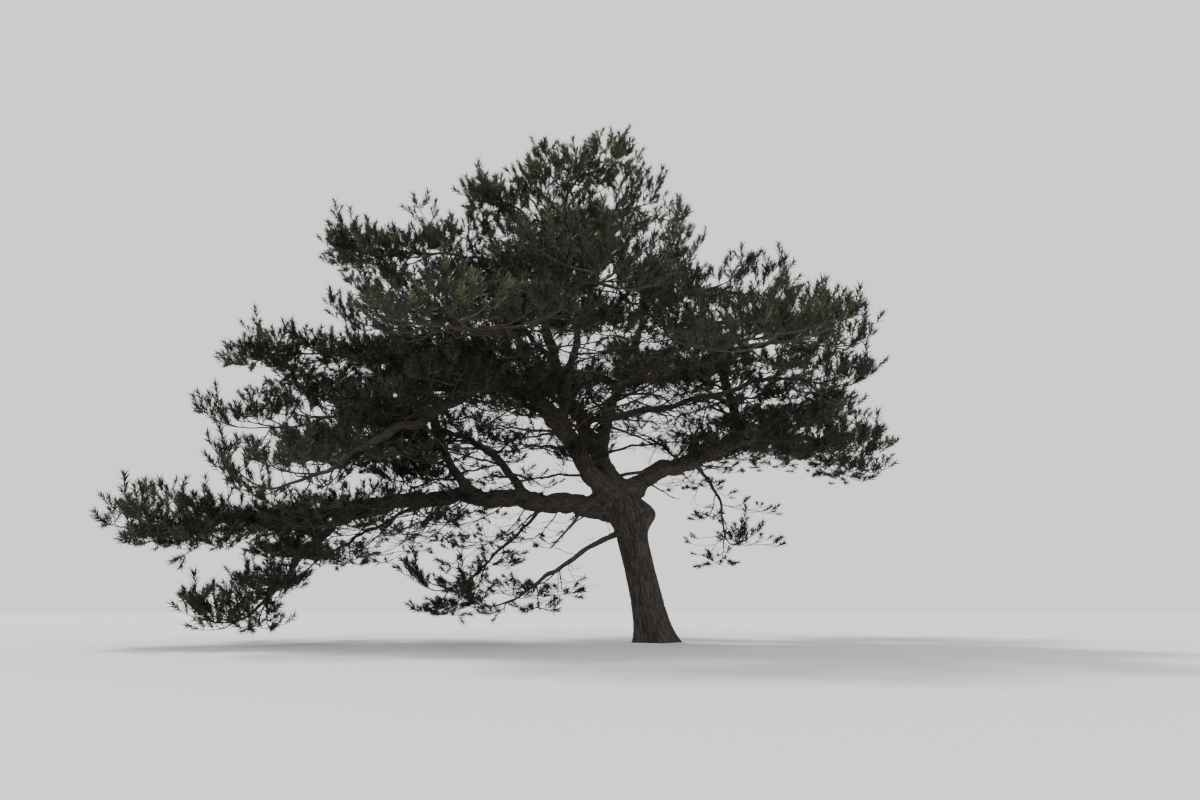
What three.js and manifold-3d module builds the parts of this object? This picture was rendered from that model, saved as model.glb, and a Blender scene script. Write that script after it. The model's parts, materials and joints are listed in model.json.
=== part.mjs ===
// A broad coastal pine on level ground: a short leaning trunk that forks low, long tapering boughs,
// and the needle masses that they carry. Millimetres, +Z up.
// The origin is the middle of the flat cut at the foot of the trunk. -X is the side of the longest
// low bough, +X the side of the shorter ones, and -Y the side that is seen from the front.

import * as THREE from "three";
import { mergeVertices } from "three/addons/utils/BufferGeometryUtils.js";
import Module from "manifold-3d";

const wasm = await Module();
wasm.setup();

// Driving sizes
const gap = 0.3; // clearance between a limb and what carries it
const margin = 12; // how much nearer a mass keeps to its own stem than to any other
const treeSeed = 20;
const barkColor = 0x4a433b;
const needleColor = 0x2b3524;

const trunkSize = {
  height: 2420, // from the ground to the top of the fork
  lean: 545, // how far the fork stands towards -X
  girth: 238, // radius at breast height
  flare: 125, // extra radius of the root flare at the ground
  flareFade: 260, // height over which the flare dies away
  roots: 5, // buttress roots round the foot
  rootDepth: 0.3, // how deeply the buttresses are cut, as a share of the flare
  collar: 140, // extra radius of the swollen fork
  collarHeight: 2000,
  collarReach: 230, // half the height of the swelling
  shoulder: 0.8, // how much more it swells towards +X
  sides: 16,
  steps: 13,
};

// Each limb starts on the limb named by from, at the share along of its length. It ends at a
// bearing round the foot (0 is +X, 90 is +Y), a reach from the foot's upright axis, and a height.
// leave and arrive are its slopes at the two ends in degrees, and root and end its two radii.
const limbSizes = {
  left_bough: { from: "trunk", along: 0.86, bearing: 187, reach: 4800, height: 1850, leave: 1, arrive: -23, root: 190, end: 80 },
  left_far_bough: { from: "left_bough", along: 0.74, bearing: 189, reach: 5450, height: 1930, leave: 4, arrive: -3, root: 66, end: 42 },
  left_riser: { from: "left_bough", along: 0.56, bearing: 184, reach: 3500, height: 3350, leave: 62, arrive: 88, root: 82, end: 55 },
  left_slanting_riser: { from: "left_bough", along: 0.36, bearing: 163, reach: 3600, height: 3550, leave: 52, arrive: 22, root: 76, end: 46 },
  left_under_bough: { from: "left_bough", along: 0.64, bearing: 173, reach: 5300, height: 1500, leave: -8, arrive: -20, root: 32, end: 22 },
  hanging_bough: { from: "left_bough", along: 0.3, bearing: 191, reach: 2500, height: 1330, leave: -62, arrive: -45, root: 30, end: 22 },
  low_bough: { from: "trunk", along: 0.7, bearing: 209, reach: 1860, height: 980, leave: -6, arrive: -27, root: 48, end: 32 },
  left_leader: { from: "trunk", along: 0.88, bearing: 200, reach: 2570, height: 3910, leave: 27, arrive: 0, root: 165, end: 118 },
  arching_bough: { from: "left_leader", along: 0.97, bearing: 206, reach: 4000, height: 3080, leave: 0, arrive: -24, root: 112, end: 66 },
  left_middle_bough: { from: "left_leader", along: 0.86, bearing: 174, reach: 4000, height: 4150, leave: 20, arrive: -2, root: 70, end: 42 },
  left_upper_bough: { from: "left_leader", along: 0.66, bearing: 176, reach: 3550, height: 4800, leave: 40, arrive: 6, root: 78, end: 42 },
  front_left_bough: { from: "left_leader", along: 0.8, bearing: 228, reach: 3050, height: 4200, leave: 36, arrive: 6, root: 72, end: 42 },
  main_leader: { from: "trunk", along: 0.92, bearing: 166, reach: 1790, height: 6950, leave: 62, arrive: 104, root: 155, end: 52 },
  top_left_bough: { from: "main_leader", along: 0.86, bearing: 187, reach: 2150, height: 7050, leave: 30, arrive: 42, root: 46, end: 29 },
  crown_left_bough: { from: "main_leader", along: 0.7, bearing: 177, reach: 2500, height: 6350, leave: 20, arrive: 14, root: 60, end: 34 },
  middle_left_bough: { from: "main_leader", along: 0.56, bearing: 166, reach: 2750, height: 5700, leave: 22, arrive: 10, root: 58, end: 34 },
  front_high_bough: { from: "left_leader", along: 0.55, bearing: 236, reach: 1950, height: 4900, leave: 80, arrive: 30, root: 84, end: 44 },
  top_right_bough: { from: "main_leader", along: 0.9, bearing: 140, reach: 1050, height: 7500, leave: 28, arrive: 44, root: 46, end: 29 },
  long_right_bough: { from: "main_leader", along: 0.3, bearing: 342, reach: 1880, height: 4080, leave: 6, arrive: 14, root: 62, end: 36 },
  right_stem: { from: "main_leader", along: 0.16, bearing: 91, reach: 1700, height: 6250, leave: 78, arrive: 84, root: 112, end: 54 },
  back_right_bough: { from: "right_stem", along: 0.55, bearing: 78, reach: 3100, height: 5650, leave: 28, arrive: 4, root: 70, end: 40 },
  back_left_bough: { from: "right_stem", along: 0.42, bearing: 128, reach: 3300, height: 5150, leave: 30, arrive: 4, root: 70, end: 40 },
  right_bough: { from: "trunk", along: 0.94, bearing: 12, reach: 1470, height: 3290, leave: 40, arrive: 32, root: 165, end: 104 },
  right_leader: { from: "right_bough", along: 0.98, bearing: 6, reach: 930, height: 5700, leave: 105, arrive: 90, root: 96, end: 48 },
  right_upper_bough: { from: "right_leader", along: 0.82, bearing: 357, reach: 1750, height: 5300, leave: 18, arrive: 14, root: 46, end: 29 },
  right_middle_bough: { from: "right_leader", along: 0.62, bearing: 348, reach: 1900, height: 4750, leave: 14, arrive: 8, root: 46, end: 29 },
  front_right_bough: { from: "right_leader", along: 0.5, bearing: 302, reach: 1900, height: 4200, leave: 30, arrive: 8, root: 62, end: 36 },
  right_low_bough: { from: "right_bough", along: 0.9, bearing: 347, reach: 2450, height: 3120, leave: 8, arrive: -4, root: 60, end: 36 },
  right_hanging_bough: { from: "right_bough", along: 0.6, bearing: 38, reach: 1500, height: 2420, leave: -14, arrive: -44, root: 40, end: 27 },
  right_back_bough: { from: "right_bough", along: 0.8, bearing: 42, reach: 3000, height: 3900, leave: 24, arrive: 4, root: 70, end: 40 },
};

// Each needle mass grows on from the tip of the limb of the same row to the tip of its own stem.
// spread is how far its twigs stand out to either side of the stem.
const massSizes = {
  left_bough: { name: "left_low_needles", bearing: 191.1, reach: 6470, height: 320, spread: 1200, spiral: 180 },
  left_far_bough: { name: "left_far_needles", bearing: 189.0, reach: 7700, height: 1760, spread: 1250, spiral: 180 },
  left_riser: { name: "left_riser_needles", bearing: 189.5, reach: 5460, height: 2740, spread: 1050, spiral: 180 },
  left_slanting_riser: { name: "left_back_needles", bearing: 159.3, reach: 6790, height: 3270, spread: 1300, spiral: 180 },
  left_under_bough: { name: "left_under_needles", bearing: 172.3, reach: 6750, height: 840, spread: 950, spiral: 180 },
  hanging_bough: { name: "hanging_needles", bearing: 193.4, reach: 3440, height: 770, spread: 700, spiral: 180 },
  low_bough: { name: "low_needles", bearing: 208.2, reach: 2860, height: 540, spread: 700, spiral: 180 },
  arching_bough: { name: "arching_needles", bearing: 204.3, reach: 6080, height: 2070, spread: 1250, spiral: 180 },
  left_middle_bough: { name: "left_middle_needles", bearing: 178.4, reach: 7080, height: 3490, spread: 1250, spiral: 180 },
  left_upper_bough: { name: "left_upper_needles", bearing: 177.4, reach: 6590, height: 4880, spread: 1250, spiral: 180 },
  front_left_bough: { name: "front_left_needles", bearing: 240, reach: 5100, height: 3750, spread: 1450, spiral: 180 },
  main_leader: { name: "crown_top_needles", bearing: 164.2, reach: 740, height: 8540, spread: 1150, spiral: 137 },
  top_left_bough: { name: "top_left_needles", bearing: 190.5, reach: 2730, height: 7340, spread: 1050, spiral: 155 },
  crown_left_bough: { name: "crown_left_needles", bearing: 177.8, reach: 5230, height: 6690, spread: 1400, spiral: 180 },
  middle_left_bough: { name: "middle_left_needles", bearing: 164.5, reach: 5620, height: 5680, spread: 1400, spiral: 180 },
  front_high_bough: { name: "front_high_needles", bearing: 258, reach: 4150, height: 4500, spread: 1500, spiral: 180 },
  top_right_bough: { name: "top_right_needles", bearing: 92.0, reach: 500, height: 7780, spread: 1000, spiral: 155 },
  long_right_bough: { name: "long_right_needles", bearing: 345.5, reach: 3210, height: 3930, spread: 1150, spiral: 180 },
  right_stem: { name: "back_top_needles", bearing: 71.6, reach: 2950, height: 7310, spread: 1400, spiral: 150 },
  back_right_bough: { name: "back_right_needles", bearing: 83, reach: 5600, height: 5800, spread: 1600, spiral: 180 },
  back_left_bough: { name: "back_left_needles", bearing: 127, reach: 6000, height: 5300, spread: 1650, spiral: 180 },
  right_leader: { name: "right_top_needles", bearing: 5.4, reach: 2120, height: 5850, spread: 1050, spiral: 165 },
  right_upper_bough: { name: "right_upper_needles", bearing: 353.7, reach: 2740, height: 5280, spread: 850, spiral: 180 },
  right_middle_bough: { name: "right_middle_needles", bearing: 347.6, reach: 3270, height: 4630, spread: 950, spiral: 180 },
  front_right_bough: { name: "front_right_needles", bearing: 289, reach: 4100, height: 3750, spread: 1450, spiral: 180 },
  right_low_bough: { name: "right_low_needles", bearing: 343.8, reach: 3230, height: 2680, spread: 1100, spiral: 180 },
  right_hanging_bough: { name: "right_hanging_needles", bearing: 38.5, reach: 1930, height: 1580, spread: 800, spiral: 180 },
  right_back_bough: { name: "right_back_needles", bearing: 40.8, reach: 5510, height: 3830, spread: 1600, spiral: 180 },
};

const handle = 0.38; // Bezier handles, as a share of a limb's chord
const limbStep = 800; // length of a limb between two of its rings

const stemSize = { taper: 0.9, end: 16, arrive: 8, sides: 3, steps: 5 }; // taper: its root, as a share of its limb's end
const twigSize = {
  spacing: 390, // along the stem, counting both sides
  bare: 0.08, // share of the stem without twigs
  turn: 58, // degrees from the stem to a twig
  lift: 0.16, // rise of a twig, as a share of its length
  root: 24,
  end: 14,
  sides: 3,
};
const spraySize = {
  length: 780,
  width: 200, // from the middle to a needle point
  waist: 50, // half width of the core at the foot of the points
  points: 3,
  pointsAt: 0.7, // share of the length where the points stand
  waistAt: 0.14,
};
const spraysAt = [0.42, 0.7, 0.96]; // places on a twig, as shares of its length
const sprayScales = [1, 0.75, 0.55]; // a spray that meets its space's edge is tried smaller
const crestSpacing = 800; // along the stem, between sprays that stand on it

const up = new THREE.Vector3(0, 0, 1);
const east = new THREE.Vector3(1, 0, 0);
const rad = THREE.MathUtils.degToRad;

// A seeded run of numbers from 0 to 1.
function seeded(seed) {
  let state = seed >>> 0;
  return () => {
    state = (state + 0x6d2b79f5) >>> 0;
    let t = Math.imul(state ^ (state >>> 15), 1 | state);
    t = (t + Math.imul(t ^ (t >>> 7), 61 | t)) ^ t;
    return ((t ^ (t >>> 14)) >>> 0) / 4294967296;
  };
}

// A place given by its bearing round the foot, its reach from the axis and its height.
function placeOf({ bearing, reach, height }) {
  return new THREE.Vector3(reach * Math.cos(rad(bearing)), reach * Math.sin(rad(bearing)), height);
}

// A closed geometry as a manifold-3d solid.
function solidOf(geometry) {
  geometry.deleteAttribute("normal");
  geometry.deleteAttribute("uv");
  const merged = mergeVertices(geometry, 1e-3);
  return new wasm.Manifold(
    new wasm.Mesh({
      numProp: 3,
      vertProperties: new Float32Array(merged.getAttribute("position").array),
      triVerts: new Uint32Array(merged.index.array),
    }),
  );
}

// The largest body of a solid, with no loose scrap and no sealed hollow.
function largestBody(solid) {
  return solid.decompose().reduce((a, b) => (b.volume() > a.volume() ? b : a));
}

// Bends an upright unit cylinder along a curve. girth(t) is its radius there. extra makes it that
// much longer at both ends.
function bend(geometry, curve, steps, girth, extra = 0) {
  const frames = curve.computeFrenetFrames(steps, false);
  const points = curve.getSpacedPoints(steps);
  points[0].addScaledVector(frames.tangents[0], -extra);
  points[steps].addScaledVector(frames.tangents[steps], extra);
  const place = geometry.getAttribute("position");
  const spot = new THREE.Vector3();
  for (let i = 0; i < place.count; i++) {
    spot.fromBufferAttribute(place, i);
    const k = Math.round((spot.y + 0.5) * steps);
    const radius = girth(k / steps);
    const moved = points[k]
      .clone()
      .addScaledVector(frames.normals[k], spot.x * radius)
      .addScaledVector(frames.binormals[k], -spot.z * radius);
    place.setXYZ(i, moved.x, moved.y, moved.z);
  }
  return geometry;
}

// The trunk's axis, as a curve that a limb can start on.
const trunkAxis = new THREE.CubicBezierCurve3(
  new THREE.Vector3(0, 0, 0),
  new THREE.Vector3(-0.3 * trunkSize.lean, 0, trunkSize.height * 0.33),
  new THREE.Vector3(-0.62 * trunkSize.lean, 0, trunkSize.height * 0.7),
  new THREE.Vector3(-trunkSize.lean, 0, trunkSize.height),
);

// The trunk, with level rings from the flat foot to the rounded top of the fork.
function trunkSolid(grow) {
  const { height, girth, flare, flareFade, roots, rootDepth, collar, collarHeight, collarReach } = trunkSize;
  const { shoulder, sides, steps } = trunkSize;
  const geometry = new THREE.CylinderGeometry(1, 1, 1, sides, steps);
  const place = geometry.getAttribute("position");
  for (let i = 0; i < place.count; i++) {
    const t = place.getY(i) + 0.5;
    const axis = trunkAxis.getPoint(t);
    const turn = Math.atan2(-place.getZ(i), place.getX(i));
    const foot = Math.exp(-axis.z / flareFade);
    const buttress = 1 + rootDepth * Math.cos(roots * turn + 0.6);
    const swell = Math.exp(-(((axis.z - collarHeight) / collarReach) ** 2));
    const rounding = Math.sqrt(Math.max(0.12, 1 - Math.max(0, (t - 0.86) / 0.14) ** 2));
    const radius =
      (girth * (1.03 - 0.06 * t) +
        flare * foot * buttress +
        collar * swell * (1 + shoulder * Math.cos(turn))) *
        rounding +
      grow;
    const out = Math.hypot(place.getX(i), place.getZ(i)) * radius;
    place.setXYZ(i, axis.x + out * Math.cos(turn), axis.y + out * Math.sin(turn), axis.z + (t === 1 ? grow : 0));
  }
  return solidOf(geometry);
}

// A curve from one place to another that leaves and arrives at the given slopes.
function limbCurve(start, end, leave, arrive, outward) {
  const flat = end.clone().sub(start).setZ(0).normalize();
  const reach = handle * start.distanceTo(end);
  const slope = (degrees) =>
    flat.clone().multiplyScalar(Math.cos(rad(degrees))).addScaledVector(up, Math.sin(rad(degrees)));
  const first = outward ? outward.clone() : slope(leave);
  return new THREE.CubicBezierCurve3(
    start,
    start.clone().addScaledVector(first, reach),
    end.clone().addScaledVector(slope(arrive), -reach),
    end,
  );
}

// The limbs' curves and radii, each worked out from the one that carries it.
const limbs = { trunk: { curve: trunkAxis, root: trunkSize.girth, end: trunkSize.girth, steps: trunkSize.steps } };
for (const [name, size] of Object.entries(limbSizes)) {
  const start = limbs[size.from].curve.getPointAt(size.along);
  const curve = limbCurve(start, placeOf(size), size.leave, size.arrive);
  const steps = Math.max(3, Math.round(curve.getLength() / limbStep));
  limbs[name] = { curve, root: size.root, end: size.end, steps, sides: size.root > 100 ? 8 : 6 };
}

function radiusAlong(limb, t) {
  return limb.root + (limb.end - limb.root) * t ** 0.85;
}

// One tapering limb. grow makes it thicker all over, to cut its neighbours clear of it.
function limbSolid(limb, grow) {
  const chordGrow = grow / Math.cos(Math.PI / limb.sides);
  return solidOf(
    bend(
      new THREE.CylinderGeometry(1, 1, 1, limb.sides, limb.steps),
      limb.curve,
      limb.steps,
      (t) => radiusAlong(limb, t) + chordGrow,
      grow,
    ),
  );
}

// Cuts a solid clear of those grown neighbours that it meets.
function cutClear(solid, neighbours) {
  return largestBody(neighbours.reduce((left, other) => left.subtract(other), solid));
}

function buildLimbs() {
  const made = { trunk: trunkSolid(0) };
  const grown = { trunk: trunkSolid(gap) };
  for (const name of Object.keys(limbSizes)) {
    made[name] = cutClear(limbSolid(limbs[name], 0), Object.values(grown));
    grown[name] = limbSolid(limbs[name], gap);
  }
  return made;
}

// The stem of each mass, from 0.3 mm clear of its limb's tip.
function stemOf(name) {
  const limb = limbs[name];
  const direction = limb.curve.getTangentAt(1);
  const start = limb.curve.getPointAt(1).addScaledVector(direction, gap);
  const curve = limbCurve(start, placeOf(massSizes[name]), 0, stemSize.arrive, direction);
  return { curve, root: limb.end * stemSize.taper, length: curve.getLength(), points: curve.getSpacedPoints(stemSize.steps) };
}

const stems = Object.fromEntries(Object.keys(massSizes).map((name) => [name, stemOf(name)]));

// The place at the share t of a chain of points that are evenly spaced.
function alongChain(points, t) {
  const k = Math.min(points.length - 2, Math.floor(t * (points.length - 1)));
  return points[k].clone().lerp(points[k + 1], t * (points.length - 1) - k);
}

function distanceTo(points, spot) {
  const line = new THREE.Line3();
  const near = new THREE.Vector3();
  let least = Infinity;
  for (let i = 1; i < points.length; i++) {
    line.set(points[i - 1], points[i]).closestPointToPoint(spot, true, near);
    least = Math.min(least, near.distanceTo(spot));
  }
  return least;
}

// A place belongs to the mass whose stem is nearest.
function inOwnSpace(name, spots) {
  return spots.every((spot) => {
    const own = distanceTo(stems[name].points, spot);
    return Object.entries(stems).every(([other, stem]) => other === name || distanceTo(stem.points, spot) > own + margin);
  });
}

// The points of a spray: its root and tip, the waist of its slim core, and the needle points.
function sprayPoints({ root, direction, size, spin }, scale) {
  const { length, width, waist, points, pointsAt, waistAt } = spraySize;
  const side = new THREE.Vector3().crossVectors(direction, Math.abs(direction.z) > 0.9 ? east : up).normalize();
  const front = new THREE.Vector3().crossVectors(direction, side);
  const long = length * size * scale;
  const at = (along, out, turn) =>
    root
      .clone()
      .addScaledVector(direction, along)
      .addScaledVector(side, out * size * scale * Math.cos(spin + turn))
      .addScaledVector(front, out * size * scale * Math.sin(spin + turn));
  const ring = (along, out, turn) =>
    Array.from({ length: points }, (_, i) => at(along, out, turn + (i * 2 * Math.PI) / points));
  return [at(0, 0, 0), at(long, 0, 0), ...ring(long * waistAt, waist, 0), ...ring(long * pointsAt, width, Math.PI / points)];
}

// A spray of needles: a three-sided core, with a needle point standing out of each upper side.
function sprayGeometry(corners) {
  const { points } = spraySize;
  const [root, tip, waist, point] = [0, 1, 2, 2 + points];
  const faces = [];
  for (let i = 0; i < points; i++) {
    const a = waist + i;
    const b = waist + ((i + 1) % points);
    faces.push(root, b, a, a, b, point + i, b, tip, point + i, tip, a, point + i);
  }
  const geometry = new THREE.BufferGeometry().setFromPoints(corners);
  geometry.setIndex(faces);
  return geometry;
}

// How far the twigs reach at the share t of the stem, from its root to its tip.
function outline(t) {
  return Math.sin(Math.PI * (0.22 + 0.66 * t)) ** 0.7;
}

// One mass worked out by the seeded rule: twigs that stand off the stem in turn, each with its
// sprays, and the sprays that stand on the stem itself.
function growMass(name, index) {
  const { spread, spiral } = massSizes[name];
  const stem = stems[name];
  const random = seeded(treeSeed + 101 * index);
  const between = (low, high) => low + (high - low) * random();
  const spray = (root, direction) => ({
    root,
    direction: direction.normalize(),
    size: between(0.8, 1.1),
    spin: between(0, 2 * Math.PI),
  });
  const count = Math.round(stem.length / twigSize.spacing);
  const twigs = [];
  for (let k = 0; k < count; k++) {
    const t = twigSize.bare + ((1 - twigSize.bare) * (k + between(0.25, 0.75))) / count;
    const root = alongChain(stem.points, t);
    const ahead = stem.curve.getTangentAt(t);
    const across = new THREE.Vector3().crossVectors(ahead, up).normalize();
    across.applyAxisAngle(ahead, rad(spiral * k + between(-16, 16)));
    const turn = rad(twigSize.turn * between(0.8, 1.15));
    const out = ahead
      .clone()
      .multiplyScalar(Math.cos(turn))
      .addScaledVector(across, Math.sin(turn))
      .addScaledVector(up, twigSize.lift * between(0.2, 1.8))
      .normalize();
    const length = spread * outline(t) * between(0.75, 1.1);
    const sprays = spraysAt.map((share, i) => {
      const sway = i === spraysAt.length - 1 ? 0.2 : (i % 2 ? 1 : -1) * between(0.2, 0.7);
      const direction = out.clone().multiplyScalar(0.6).addScaledVector(ahead, sway);
      return spray(root.clone().addScaledVector(out, length * share), direction.addScaledVector(up, between(0.5, 1.2)));
    });
    twigs.push({ root, out, length, sprays });
  }
  const crestCount = Math.round((stem.length * (1 - twigSize.bare)) / crestSpacing);
  const crest = Array.from({ length: crestCount }, (_, k) => {
    const t = 1 - ((1 - twigSize.bare) * k) / crestCount;
    const direction = stem.curve.getTangentAt(t).multiplyScalar(k ? 0.5 : 1);
    return spray(alongChain(stem.points, t - 0.01), direction.addScaledVector(up, between(0.4, 0.9)));
  });
  return { twigs, crest };
}

function twigSolid({ root, out, length }) {
  const line = new THREE.LineCurve3(root, root.clone().addScaledVector(out, length));
  const girth = (t) => twigSize.root + (twigSize.end - twigSize.root) * t;
  return solidOf(bend(new THREE.CylinderGeometry(1, 1, 1, twigSize.sides, 1), line, 1, girth));
}

// A mass as one body. A twig or spray that would leave its space or touch another solid is skipped,
// and so is a twig with no room for a spray.
function massSolid(name, index, taken) {
  const stem = stems[name];
  const { sides, steps, end } = stemSize;
  const girth = (t) => stem.root + (end - stem.root) * t;
  const wood = [solidOf(bend(new THREE.CylinderGeometry(1, 1, 1, sides, steps), stem.curve, steps, girth))];
  const needles = [];
  const clear = (solid, others) => others.every((other) => solid.intersect(other).isEmpty());
  const addSpray = (spray) =>
    sprayScales.some((scale) => {
      const corners = sprayPoints(spray, scale);
      if (!inOwnSpace(name, corners.slice(1))) return false;
      const solid = solidOf(sprayGeometry(corners));
      const fits = clear(solid, taken) && clear(solid, needles);
      if (fits) needles.push(solid);
      return fits;
    });
  const { twigs, crest } = growMass(name, index);
  for (const twig of twigs) {
    const spots = [0.5, 1].map((share) => twig.root.clone().addScaledVector(twig.out, twig.length * share));
    const solid = twigSolid(twig);
    if (!inOwnSpace(name, spots) || !clear(solid, taken)) continue;
    if (twig.sprays.filter(addSpray).length) wood.push(solid);
  }
  crest.forEach(addSpray);
  return largestBody(wasm.Manifold.union([...wood, ...needles]));
}

function meshOf(name, solid, material) {
  const { vertProperties, triVerts } = solid.getMesh();
  const geometry = new THREE.BufferGeometry()
    .setAttribute("position", new THREE.BufferAttribute(vertProperties, 3))
    .setIndex(new THREE.BufferAttribute(triVerts, 1));
  geometry.computeVertexNormals();
  const mesh = new THREE.Mesh(geometry, material);
  mesh.name = name;
  return mesh;
}

const bark = new THREE.MeshStandardMaterial({ color: barkColor, roughness: 0.95, metalness: 0 });
const needles = new THREE.MeshStandardMaterial({ color: needleColor, roughness: 0.8, metalness: 0 });

const tree = new THREE.Group();
const limbSolids = buildLimbs();
for (const [name, solid] of Object.entries(limbSolids)) tree.add(meshOf(name, solid, bark));
const taken = Object.values(limbSolids);
Object.keys(massSizes).forEach((name, index) => {
  const solid = massSolid(name, index, taken);
  taken.push(solid);
  tree.add(meshOf(massSizes[name].name, solid, needles));
});

export default tree;
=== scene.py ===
# A broad coastal pine on level ground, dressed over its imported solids. Metres, +Z up.
# The origin is the middle of the flat cut at the foot of the trunk. -X is the side of the longest
# low bough, and -Y the side that is seen from the front.
import json
import math

import bpy
import numpy as np
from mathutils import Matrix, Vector

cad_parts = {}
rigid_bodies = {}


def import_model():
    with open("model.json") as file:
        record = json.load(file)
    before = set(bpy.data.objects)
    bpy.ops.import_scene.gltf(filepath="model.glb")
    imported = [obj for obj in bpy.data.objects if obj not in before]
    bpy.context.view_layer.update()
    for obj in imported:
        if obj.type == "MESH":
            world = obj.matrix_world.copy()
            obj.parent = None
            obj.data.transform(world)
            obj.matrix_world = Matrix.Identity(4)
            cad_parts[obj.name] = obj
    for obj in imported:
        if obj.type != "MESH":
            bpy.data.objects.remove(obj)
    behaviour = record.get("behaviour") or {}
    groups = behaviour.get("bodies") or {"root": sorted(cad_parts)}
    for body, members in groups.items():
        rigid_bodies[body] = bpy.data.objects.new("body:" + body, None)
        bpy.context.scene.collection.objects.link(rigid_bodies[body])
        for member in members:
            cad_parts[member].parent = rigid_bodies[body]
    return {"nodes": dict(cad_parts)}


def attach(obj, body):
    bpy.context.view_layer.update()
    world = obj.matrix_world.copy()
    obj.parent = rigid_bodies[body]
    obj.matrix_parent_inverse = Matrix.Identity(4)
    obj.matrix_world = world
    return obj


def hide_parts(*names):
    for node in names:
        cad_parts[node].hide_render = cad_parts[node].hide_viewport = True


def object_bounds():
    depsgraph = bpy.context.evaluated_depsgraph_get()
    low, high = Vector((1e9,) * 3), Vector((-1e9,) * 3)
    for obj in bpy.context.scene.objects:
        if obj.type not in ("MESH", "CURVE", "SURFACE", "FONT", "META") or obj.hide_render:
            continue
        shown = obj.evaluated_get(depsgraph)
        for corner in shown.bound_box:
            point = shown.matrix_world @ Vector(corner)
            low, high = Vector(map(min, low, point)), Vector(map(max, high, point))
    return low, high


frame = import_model()
solidsBox = [list(corner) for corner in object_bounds()]
print("frame loaded:", len(frame["nodes"]), "nodes")

mm = 0.001
up = Vector((0, 0, 1))
treeSeed = 20

trunkSize = {
    "height": 2.420,
    "lean": 0.545,
    "girth": 0.238,  # radius at breast height
    "flare": 0.125,  # extra radius of the root flare
    "flareFade": 0.260,
    "roots": 5,
    "rootDepth": 0.42,
    "collar": 0.140,  # extra radius of the swollen fork
    "collarHeight": 2.000,
    "collarReach": 0.230,
    "shoulder": 0.8,  # how much more it swells towards +X
    "rounded": (0.86, 0.14),  # where the top starts to round off, and over what share
    "sides": 220,
    "rings": 220,
}

# Each limb: what it starts on and at which share of its length, then the bearing, reach and
# height of its tip, the slopes at its two ends in degrees, and its two radii. Millimetres.
limbTable = {
    "left_bough": ("trunk", 0.86, 187, 4800, 1850, 1, -23, 190, 80),
    "left_far_bough": ("left_bough", 0.74, 189, 5450, 1930, 4, -3, 66, 42),
    "left_riser": ("left_bough", 0.56, 184, 3500, 3350, 62, 88, 82, 55),
    "left_slanting_riser": ("left_bough", 0.36, 163, 3600, 3550, 52, 22, 76, 46),
    "left_under_bough": ("left_bough", 0.64, 173, 5300, 1500, -8, -20, 32, 22),
    "hanging_bough": ("left_bough", 0.3, 191, 2500, 1330, -62, -45, 30, 22),
    "low_bough": ("trunk", 0.7, 209, 1860, 980, -6, -27, 48, 32),
    "left_leader": ("trunk", 0.88, 200, 2570, 3910, 27, 0, 165, 118),
    "arching_bough": ("left_leader", 0.97, 206, 4000, 3080, 0, -24, 112, 66),
    "left_middle_bough": ("left_leader", 0.86, 174, 4000, 4150, 20, -2, 70, 42),
    "left_upper_bough": ("left_leader", 0.66, 176, 3550, 4800, 40, 6, 78, 42),
    "front_left_bough": ("left_leader", 0.8, 228, 3050, 4200, 36, 6, 72, 42),
    "main_leader": ("trunk", 0.92, 166, 1790, 6950, 62, 104, 155, 52),
    "top_left_bough": ("main_leader", 0.86, 187, 2150, 7050, 30, 42, 46, 29),
    "crown_left_bough": ("main_leader", 0.7, 177, 2500, 6350, 20, 14, 60, 34),
    "middle_left_bough": ("main_leader", 0.56, 166, 2750, 5700, 22, 10, 58, 34),
    "front_high_bough": ("left_leader", 0.55, 236, 1950, 4900, 80, 30, 84, 44),
    "top_right_bough": ("main_leader", 0.9, 140, 1050, 7500, 28, 44, 46, 29),
    "long_right_bough": ("main_leader", 0.3, 342, 1880, 4080, 6, 14, 62, 36),
    "right_stem": ("main_leader", 0.16, 91, 1700, 6250, 78, 84, 112, 54),
    "back_right_bough": ("right_stem", 0.55, 78, 3100, 5650, 28, 4, 70, 40),
    "back_left_bough": ("right_stem", 0.42, 128, 3300, 5150, 30, 4, 70, 40),
    "right_bough": ("trunk", 0.94, 12, 1470, 3290, 40, 32, 165, 104),
    "right_leader": ("right_bough", 0.98, 6, 930, 5700, 105, 90, 96, 48),
    "right_upper_bough": ("right_leader", 0.82, 357, 1750, 5300, 18, 14, 46, 29),
    "right_middle_bough": ("right_leader", 0.62, 348, 1900, 4750, 14, 8, 46, 29),
    "front_right_bough": ("right_leader", 0.5, 302, 1900, 4200, 30, 8, 62, 36),
    "right_low_bough": ("right_bough", 0.9, 347, 2450, 3120, 8, -4, 60, 36),
    "right_hanging_bough": ("right_bough", 0.6, 38, 1500, 2420, -14, -44, 40, 27),
    "right_back_bough": ("right_bough", 0.8, 42, 3000, 3900, 24, 4, 70, 40),
}

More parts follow.
